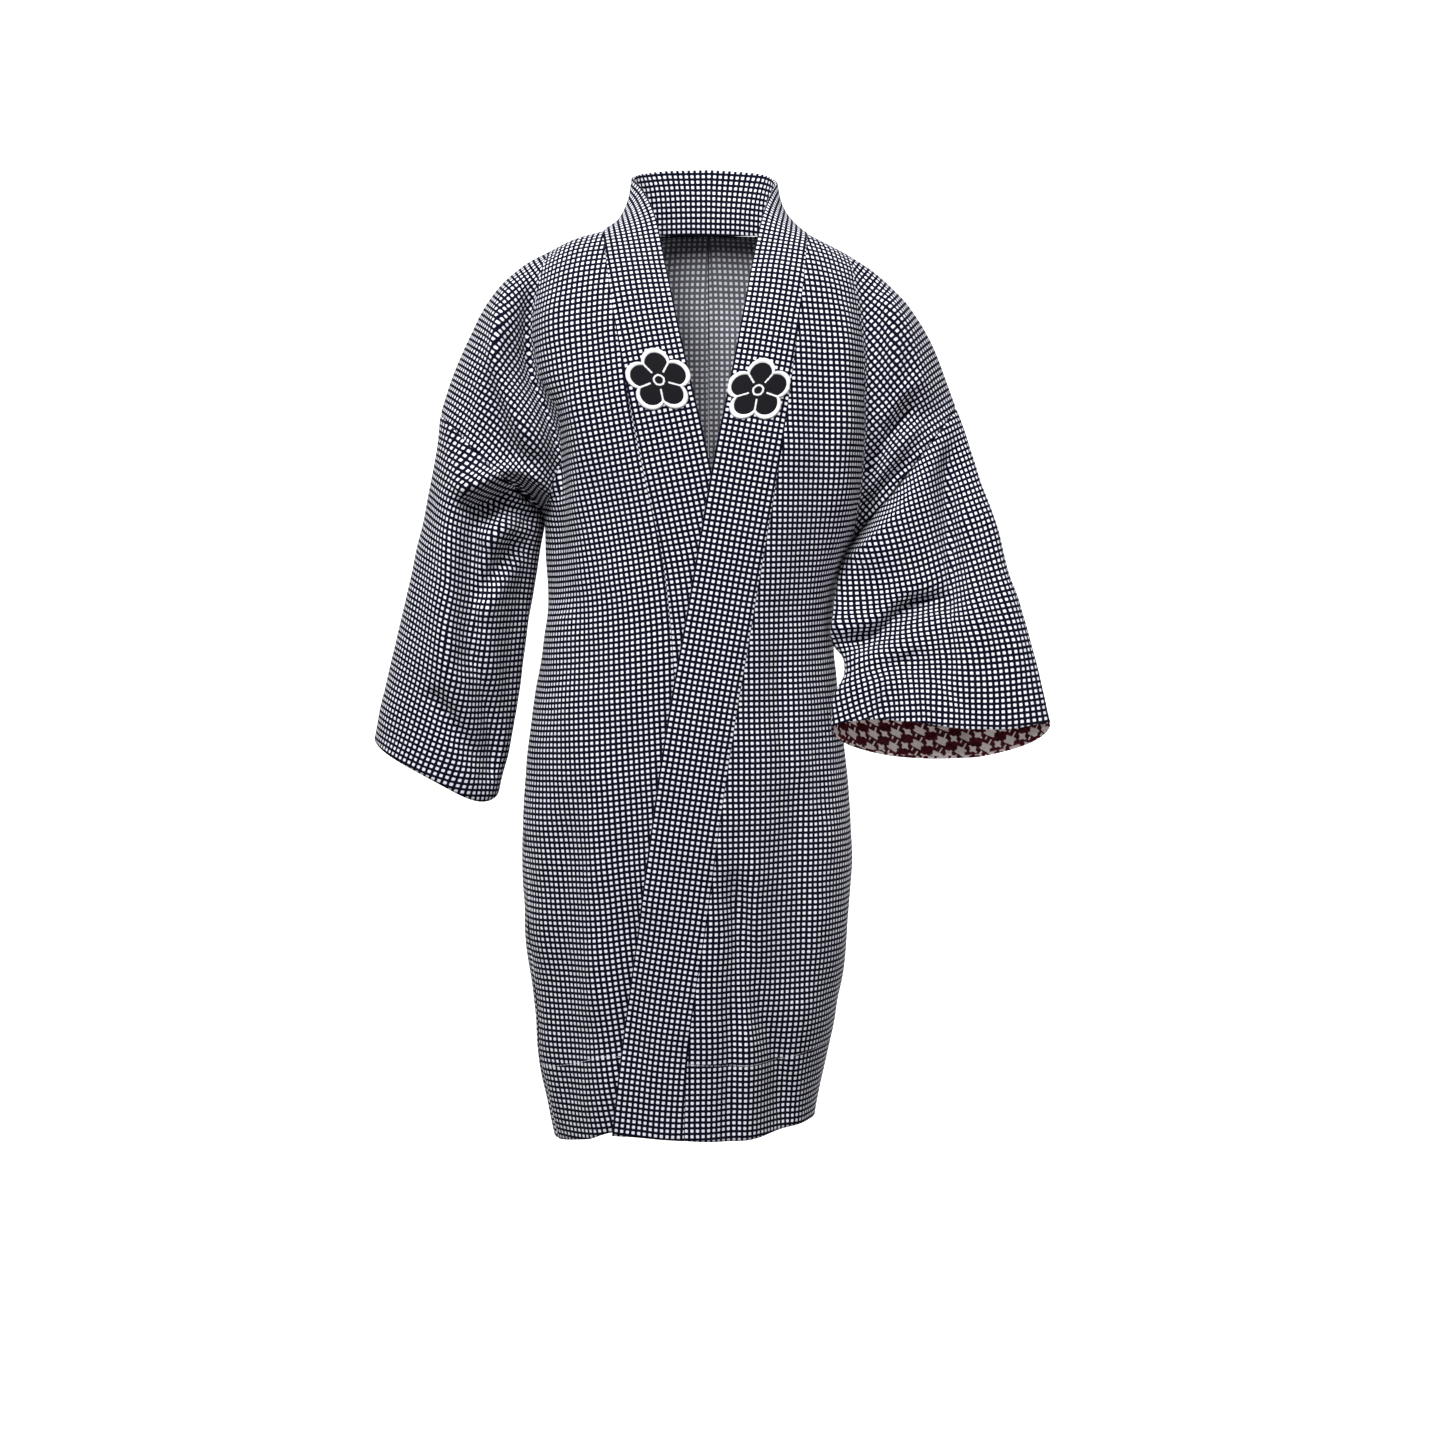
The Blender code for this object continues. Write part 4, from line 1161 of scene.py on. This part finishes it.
def bodyPiece(side, sizes):
    grids = panelGrids(side)
    columns = grids[front].shape[1]
    atNeck = np.s_[:, columns - 1 :]
    outward, near, seams, hems = {}, {}, {}, {}
    for part, grid in grids.items():
        across, up = arcLength(grid, 1), arcLength(grid, 0)
        # a distance that grows faster sinks less and gets less painted shade than the others do
        sideAway = across * sizes["sideFaint"]
        inner = across[:, -1:] - across
        faint = sizes["collarDip" if part == front else "centreDip"]
        seams[part], near[part] = np.minimum(sideAway, inner), np.minimum(sideAway, inner / faint)
        if part == back:
            for values, faint in ((seams[part], 1), (near[part], sizes["collarDip"])):
                values[atNeck] = np.minimum(values[atNeck], (up[-1:] - up)[atNeck] / faint)
        hems[part] = up
        outward[part] = normals(grid) * side * part
    # both parts have the same normals at the side seam and on the shoulder
    for shared in (np.s_[: fineness["skirtRows"] + 1, 0], np.s_[-1, :columns]):
        both = unit(outward[front][shared] + outward[back][shared])
        outward[front][shared] = outward[back][shared] = both
    missing = grids[back].shape[1] - columns

    def whole(values):
        # the whole cut: the front's rows up, then the back's rows down
        padded = np.pad(values[front], ((0, 0), (0, missing), (0, 0)), mode="edge")
        return np.concatenate([padded[:-1], values[back][::-1]])

    cut, shoulder = whole(grids), len(grids[front]) - 1
    exists = np.ones(cut.shape[:2], bool)
    exists[:shoulder, columns:] = False
    face = np.where(np.arange(len(cut)) < shoulder, front, back)[:, None]
    face = np.broadcast_to(face, exists.shape)
    charts = bodyCharts(cut, whole(outward), face, side, exists, ([shoulder], [columns - 1]))
    parts = []
    for part, rows in ((front, np.s_[: shoulder + 1, :columns]), (back, np.s_[: shoulder - 1 : -1])):
        flat, arm, past = (chart[rows] for chart in charts)
        values = {"seam": seams[part], "hem": hems[part], "past": past}
        values.update(armX=arm[..., 0], armY=arm[..., 1])
        # the back's columns run the other way, so that its faces look out too
        way = np.s_[:, ::-part]
        parts.append({
            "grid": finished(grids[part], outward[part], near[part])[way],
            "flat": flat[way],
            "values": {name: value[way] for name, value in values.items()},
        })
    word = coat["word"][side]
    piece = makePiece(
        "body" + word.title(), parts, [checked, checkedInside], sizes["wall"], turned=side == left
    )
    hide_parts("body_" + word)


for side in (right, left):
    bodyPiece(side, bodySizes)
print("body panels")

sleeveSizes = {
    "wall": 0.0012,
    "start": 0.0012,  # share of the length at which the sleeve begins, beside the armhole
    # how many times sooner the armhole seam's sinking and painted shade end along the sleeve
    "seamFaint": 3.0,
    # how far the cuff's front edge hangs lower: these times the powers of the way from its inner
    # end to its outer one, and its back edge
    "frontSag": {right: (0.026, -1, 4), left: (0.025, 1, 1)},
    "backSag": {right: 0.0, left: 0.016},
    # how far the inner side of the sleeve lies nearer to the body
    "tuck": {
        right: table("share tuck", "0 0, 1 0"),
        left: table("share tuck", """
        0 0, 0.08 4.5, 0.17 6.5, 0.32 6, 0.52 5, 0.62 0, 0.72 0, 0.82 6, 1 9
        """),
    },
    "tuckForward": 2.2,  # and how much farther forward it lies there, above the gap
    "tuckPower": 6,
    # shares of the length: where the cuff's sag grows, and where the tuck stops reaching forward
    "sagFrom": (0.6, 1),
    "forwardTo": (0.4, 0.6),
    "turned": (0.3, 0.7),  # where the back's grain gives way to the front's, from back to front
    "cut": {right: (0.36, 0.31, 0.088), left: (0.34, 0.31, 0.080)},
}


def sleeveForm(side, shares):
    # the sleeve with its creases, its cuff's sag and its tuck; creases that cross the armhole
    # are whole on both sides
    sizes = sleeveSizes
    grid = sleeveFolded(sleeveGrid(side, shares), shares, creases[side], creases["body"])
    grid = folded(grid, creases["crossing"], forwardOfBody(grid))
    turn = np.linspace(0, 2 * np.pi, grid.shape[1])[None, :]
    sine, over = np.sin(turn), (1 - np.cos(turn)) / 2
    most, direction, power = sizes["frontSag"][side]
    sag = most * (over if direction > 0 else 1 - over) ** power * sine**2 * (sine > 0)
    sag = sag + sizes["backSag"][side] * np.clip(-sine, 0, 1)
    grid[..., 2] -= sag * ramp(shares, *sizes["sagFrom"])[:, None]
    tuck = at(sizes["tuck"][side], shares, "tuck")[:, None]
    tuck = np.maximum(tuck, 0) * (1 - over) ** sizes["tuckPower"]
    grid[..., 0] -= side * tuck
    grid[..., 1] -= sizes["tuckForward"] * tuck * (1 - ramp(shares, *sizes["forwardTo"]))[:, None]
    return grid


def sleevePiece(side, sizes):
    shares = np.linspace(sizes["start"], 1, fineness["sleeveRows"] + 1)
    grid = sleeveForm(side, shares)
    outward = normals(grid, closed=True) * -side
    across, along = arcLength(grid, 1), arcLength(grid, 0)
    underarm = np.minimum(across, across[:, -1:] - across)
    seam = np.minimum(underarm, along * sizes["seamFaint"])
    forward = forwardOfBody(grid - grid.mean(1, keepdims=True)) / 2 + 0.5
    ahead, behind = (slopeAt(grid, grain["sleeve"][key]) for key in (side, (side, back)))
    slope = behind + (ahead - behind) * ramp(forward, *sizes["turned"])
    ways = rowWays(outward, slope, front, 0.0)
    part = {
        "grid": finished(grid, outward, seam),
        "flat": charted(grid, outward, ways, np.ones(grid.shape[:2])),
        "values": {"seam": seam, "hem": np.ones(seam.shape)},
    }
    word = coat["word"][side]
    piece = makePiece(
        "sleeve" + word.title(), [part], [checked, lined], sizes["wall"], turned=side == left
    )
    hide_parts("sleeve_" + word)


for side in (right, left):
    sleevePiece(side, sleeveSizes)
print("sleeves")

liningCut = {
    "shares": (0.76, 0.99),  # of the sleeve's length
    "inset": 0.0016,
    "wall": 0.0006,
    "cut": (0.34, 0.075, 0.0185),
}


def liningPiece(sizes):
    # rows of the left sleeve near its cuff, moved inward, clear of the sleeve's own wall
    shares = np.linspace(*sizes["shares"], fineness["liningRows"] + 1)
    grid = sleeveForm(left, shares)
    inward = normals(grid, closed=True)
    grid = grid + inward * sizes["inset"]
    grid = grid - inward * crumple(grid)[..., None]
    flat = np.stack([arcLength(grid, 1), -arcLength(grid, 0)], -1)
    part = {"grid": grid, "flat": flat, "values": {}}
    piece = makePiece("sleeveLiningLeft", [part], [lined, lined], sizes["wall"], turned=True)
    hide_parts("sleeve_lining_left")


liningPiece(liningCut)
print("sleeve lining")

collarSizes = {
    "width": 0.057,
    "raise": 0.0009,  # of the outer face above the fronts
    "thick": 0.0026,
    "overlap": 0.0016,  # past the seam, over the fronts' edges
    "edgeThick": 0.0012,
    "ease": 0.0030,
    "close": (0.0006, 0.0016),  # steps of its first points from the seam's edge
    "foldSteps": 7,
    "crumpled": 0.8,  # share of the crumple that the double cloth takes
    "cut": (0.057, 1.86, 0.098),
}


def seamStations(side):
    # where the rows of the panel's collar seam lie, as shares of the turn of its arch
    skirt = bodyRing(side, np.array([coat["foot"][side]] * 2), np.array([0.0, 1.0]), front)[:1, 1]
    power, bow, bulge = archShape(side, front, np.zeros(1))
    turns = archTurns()
    column = arch(skirt, shoulderLine(side, np.zeros(1)), power, bow, bulge, front, turns)
    along = arcLength(column, 0)[:, 0]
    return np.interp(np.linspace(0, along[-1], fineness["chestRows"] + 1), along, turns)


def collarHalf(side, across):
    # one half of the strip, with rows from its hem up to the centre back
    heights = np.linspace(coat["hem"], coat["foot"][side], fineness["skirtRows"] + 1)
    roundNeck = np.linspace(1, 2, fineness["neckRows"] + 1)[1:]
    above = collarAbove(side, np.concatenate([seamStations(side), roundNeck]), across)
    below = collarBelow(side, heights, across)
    settle = 1 - ramp(np.linspace(0, 1, len(above)), 0, coat["collarSettle"])
    above = above + settle[:, None, None] * (below[-1] - above[0])
    grid = np.concatenate([below, above[1:]])
    grid = eased(grid, len(heights) - 1, np.ones(grid.shape[1]))
    grid = folded(grid, bodyFolds + creases["body"], forwardOfBody(grid))
    return lapped(grid, side)


def collarSheet(across):
    # the whole strip, from the right hem round the neck to the left hem
    halves = collarHalf(right, across), collarHalf(left, across)
    middle = (halves[0][-1:] + halves[1][-1:]) / 2
    return np.concatenate([halves[0][:-1], middle, halves[1][-2::-1]])


def collarPiece(sizes):
    # a closed profile carried along the strip: its two faces lie the same way each side of a
    # middle surface, and meet in a round fold at the free edge
    half, width = sizes["thick"] / 2, sizes["width"]
    flatEnd = width - half
    even = np.linspace(-sizes["overlap"], flatEnd, fineness["collarColumns"] + 1)
    start = np.array(sizes["close"]) - sizes["overlap"]
    angle = np.linspace(0, np.pi / 2, sizes["foldSteps"])[1:]
    offset = np.concatenate([np.sort(np.append(even, start)), flatEnd + half * np.sin(angle)])
    height = half * np.sqrt(np.clip(1 - (np.clip(offset - flatEnd, 0, None) / half) ** 2, 0, 1))
    thin = ramp(offset, -sizes["overlap"], -sizes["overlap"] + sizes["ease"])
    height = height * (sizes["edgeThick"] / sizes["thick"] * (1 - thin) + thin)
    sheet = collarSheet(offset / width)
    outward = normals(sheet)
    bend = crumple(sheet) * sizes["crumpled"]
    middle = sheet + outward * (bend + sizes["raise"] - half)[..., None]
    rise = outward * height[:, None]
    under = slice(-2, None, -1)
    grid = np.concatenate([middle + rise, (middle - rise)[:, under], (middle + rise)[:, :1]], 1)
    caps = np.concatenate([middle, middle[:, under], middle[:, :1]], 1)
    grid = np.concatenate([caps[:1], grid, caps[-1:]])
    # the print's columns run along the strip
    faceOut = normals(grid, closed=True)
    lengthwise = np.gradient(grid, axis=0)
    lengthwise[0], lengthwise[-1] = lengthwise[1], lengthwise[-2]
    lengthwise -= (lengthwise * faceOut).sum(-1, keepdims=True) * faceOut
    ways = np.cross(unit(lengthwise), faceOut)
    flat = charted(grid, faceOut, ways, np.ones(grid.shape[:2]))
    # a line of the print runs along the free edge, halfway round the fold
    flat[..., 0] -= flat[:, len(offset) - 1 - sizes["foldSteps"] // 2, 0].mean()
    fromSeam = np.concatenate([offset, offset[under], offset[:1]]) + sizes["overlap"]
    fromSeam = np.broadcast_to(fromSeam, grid.shape[:2])
    values = {"seam": fromSeam, "hem": np.ones(grid.shape[:2])}
    part = {"grid": grid, "flat": flat, "values": values}
    piece = makePiece("collarStrip", [part], [checked])
    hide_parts("collar")
    return piece


collar = collarPiece(collarSizes)
print("collar")

patchSizes = {
    "radius": 0.027,
    "petals": 5,
    "petalDip": 0.30,
    "petalPower": 0.75,
    "station": {right: 0.243, left: 0.268},  # of its middle, on the collar
    "rim": 0.0040,
    "rimSoft": 0.0004,
    "lift": 0.0002,  # above the collar
    "rimHeight": 0.0012,
    "faceHeight": 0.0011,
    "round": 0.0010,  # width of the round outer edge
    "crown": 0.15,  # how much the rim swells
    "groove": (0.35, 0.0006),  # depth, as a share of the height, and width, inside the rim
    "thread": 0.0007,  # half its width
    "slitFrom": 0.0075,  # radius at which the slits begin
    "slitTo": 0.0005,  # how far they run into the rim
    "ring": 0.0040,  # radius of the ring in the middle
    "stitch": 0.0009,
    "rings": 56,
    "sectors": 320,
    "ground": 64,  # columns of the collar under a patch
    "felt": (0.010, 0.010, 0.013),
    "satin": (0.78, 0.78, 0.80),
    "mottle": {"felt": (0.4, 1.4), "satin": (0.85, 1.08)},
    "scale": 1100,  # of the fibres
    "mask": (0.4, 0.6),
    "rough": {"felt": 0.90, "more": -0.35},  # of the felt, and how much more the satin has
    "relief": {"fibres": 0.0003, "stitch": 0.00012},
    "cut": (0.054, 0.054, 0.0019),
}


def patchMaterial(c):
    # felt and satin thread, mixed by the attribute that marks the threads
    made, t, shader = newMaterial("patchCotton")
    flat = t.add("ShaderNodeUVMap", uv_map="cloth").outputs["UV"]
    thread, lines = (
        t.add("ShaderNodeAttribute", attribute_name=name).outputs["Fac"] for name in ("thread", "stitch")
    )
    fibres, mask = t.noise(flat, c["scale"], 3), t.band(thread, *c["mask"])
    felt, satin = (t.mottled(fibres, c[name], *c["mottle"][name]) for name in ("felt", "satin"))
    wave = t.math("MULTIPLY", t.math("SINE", t.math("MULTIPLY", lines, 2 * math.pi)), mask)
    height = t.math("MULTIPLY", fibres, c["relief"]["fibres"])
    height = t.math("MULTIPLY_ADD", wave, c["relief"]["stitch"], height)
    relief = t.add("ShaderNodeBump", {"Height": height, "Strength": bumpStrength})
    t.link({
        "Base Color": t.mix(mask, felt, satin),
        "Roughness": t.math("MULTIPLY_ADD", mask, c["rough"]["more"], c["rough"]["felt"]),
        "Normal": relief.outputs["Normal"],
    }, shader)
    setInputs(shader, {"Sheen Weight": 0.02, "Specular IOR Level": 0.08})
    return made


patchCotton = patchMaterial(patchSizes)


def patchPiece(side, sizes):
    # rings round the patch's middle, out over its face and rim and back underneath, laid on the
    # collar's outer face; the outline's radius is R (1 - d + d |cos(5/2 turn)|^p)
    count, rim = sizes["ground"], sizes["rim"]
    half = collarHalf(side, np.linspace(0, 1, count + 1))
    outward = normals(half) * -side
    bend = crumple(half) * collarSizes["crumpled"]
    top = half + outward * (bend + collarSizes["raise"])[..., None]
    stations = seamStations(side)
    middleRow = np.interp(sizes["station"][side], stations, np.arange(len(stations)))
    middleRow += fineness["skirtRows"]
    along = arcLength(top, 0)[:, count // 2]
    along = along - np.interp(middleRow, np.arange(len(along)), along)
    width = np.linalg.norm(top[int(middleRow), -1] - top[int(middleRow), 0])
    turn = np.linspace(0, 2 * np.pi, sizes["sectors"] + 1)[:, None]
    between = np.abs(np.cos(sizes["petals"] / 2 * turn))  # 0 between two petals
    dip = sizes["petalDip"]
    outline = sizes["radius"] * (1 - dip + dip * between ** sizes["petalPower"])
    share = np.sin(np.linspace(0, np.pi / 2, sizes["rings"] + 1))
    over = np.concatenate([share, share[-2::-4], [0.0]])[None, :]
    upper = np.arange(over.shape[1])[None, :] <= sizes["rings"]
    radius = outline * over
    fromEdge = outline - radius
    onRim = 1 - ramp(fromEdge, rim - sizes["rimSoft"], rim + sizes["rimSoft"])
    dome = np.sqrt(np.clip(1 - (1 - np.clip(fromEdge / sizes["round"], 0, 1)) ** 2, 0, 1))
    crown = 1 + sizes["crown"] * np.sin(np.pi * np.clip(fromEdge / rim, 0, 1))
    deep, wide = sizes["groove"]
    groove = deep * np.exp(-(((fromEdge - rim) / wide) ** 2))
    rise = dome * (onRim * sizes["rimHeight"] * crown + (1 - onRim) * sizes["faceHeight"])
    rise = np.where(upper, rise * (1 - groove), 0.0) + sizes["lift"]
    up, out = radius * np.cos(turn), radius * np.sin(turn)
    rows = np.interp(up, along, np.arange(len(along)))
    columns = np.clip(0.5 + out / width, 0, 1) * count
    row, column = np.floor(rows).astype(int), np.minimum(columns.astype(int), count - 1)
    u, v = (rows - row)[..., None], (columns - column)[..., None]

    def read(values):
        lower, higher = (
            values[r, column] * (1 - v) + values[r, column + 1] * v for r in (row, row + 1)
        )
        return lower * (1 - u) + higher * u

    grid = read(top) + unit(read(outward)) * rise[..., None]
    # white slits run in between the petals, and a ring of thread marks the middle
    slit = between * radius / (sizes["petals"] / 2) < sizes["thread"]
    slit &= (radius > sizes["slitFrom"]) & (fromEdge > rim - sizes["slitTo"])
    ring = np.abs(radius - sizes["ring"]) < sizes["thread"]
    stitch = turn * sizes["radius"] / sizes["stitch"] * np.ones_like(radius)
    values = {"thread": np.maximum(onRim, (slit | ring) * 1.0), "stitch": stitch}
    part = {"grid": grid, "flat": np.stack([out, up], -1), "values": values}
    word = coat["word"][side]
    piece = makePiece("patch" + word.title(), [part], [patchCotton], turned=side == right)
    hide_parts("patch_" + word)


for side in (right, left):
    patchPiece(side, patchSizes)
print("patches")

# The studio: a white sweep under and behind the coat, and soft light from above and both sides
studio = {
    "floor": -1.35,
    "wall": 3.0,
    "bend": 1.2,
    "halfWidth": 6.0,
    "near": 0.5,
    "height": 4.0,
    "white": (0.80, 0.80, 0.80, 1),
    "glow": 0.75,  # of the sweep, so that it is near white
    "world": 0.25,
    "lights": [
        # place, aim, size, watts, spread in degrees; the last lights the open cuff from below
        ((-0.65, -2.0, 1.90), (0.012, 0.0, -0.409), 1.0, 112.0, 180),
        ((1.9, -2.0, 0.3), (0.012, 0.0, -0.409), 1.8, 8.0, 180),
        ((0.0, -0.9, 2.0), (0.012, 0.0, -0.409), 2.0, 16.0, 180),
        ((0.55, -0.75, -1.30), (0.20, -0.03, -0.41), 0.2, 0.08, 20),
    ],
}


def makeStudio(s):
    # the sweep's profile: the floor, a quarter circle and the wall, carried across
    turn = np.linspace(0, np.pi / 2, 25)
    curve = np.stack([s["wall"] - s["bend"] + s["bend"] * np.sin(turn),
                      s["floor"] + s["bend"] * (1 - np.cos(turn))], -1)
    profile = np.concatenate([[[s["near"], s["floor"]]], curve, [[s["wall"], s["height"]]]])
    sides = np.array([-s["halfWidth"], s["halfWidth"]])
    grid = np.stack(np.broadcast_arrays(sides[None, :], profile[:, :1], profile[:, 1:]), -1)
    mesh = bpy.data.meshes.new("backdrop")
    mesh.from_pydata(grid.reshape(-1, 3), [], gridFaces(len(profile), 2))
    mesh.shade_smooth()
    white, _, shader = newMaterial("backdropWhite")
    pure = (1, 1, 1, 1)
    setInputs(shader, {"Base Color": s["white"], "Roughness": 0.9})
    setInputs(shader, {"Emission Color": pure, "Emission Strength": s["glow"]})
    mesh.materials.append(white)
    sweep = placed("backdrop", mesh)
    world = bpy.data.worlds.new("studio")
    world.use_nodes = True
    setInputs(world.node_tree.nodes["Background"], {"Color": pure, "Strength": s["world"]})
    bpy.context.scene.world = world
    for number, (place, aim, size, power, cone) in enumerate(s["lights"]):
        data = bpy.data.lights.new("soft%d" % number, "AREA")
        data.size, data.energy, data.spread = size, power, math.radians(cone)
        light = placed("soft%d" % number, data)
        light.location = place
        x, y, z = unit(np.array(aim) - np.array(place))
        light.rotation_euler = (math.acos(-z), 0, math.atan2(y, x) - math.pi / 2)
    bpy.context.scene.view_settings.view_transform = "Standard"


makeStudio(studio)
print("studio")
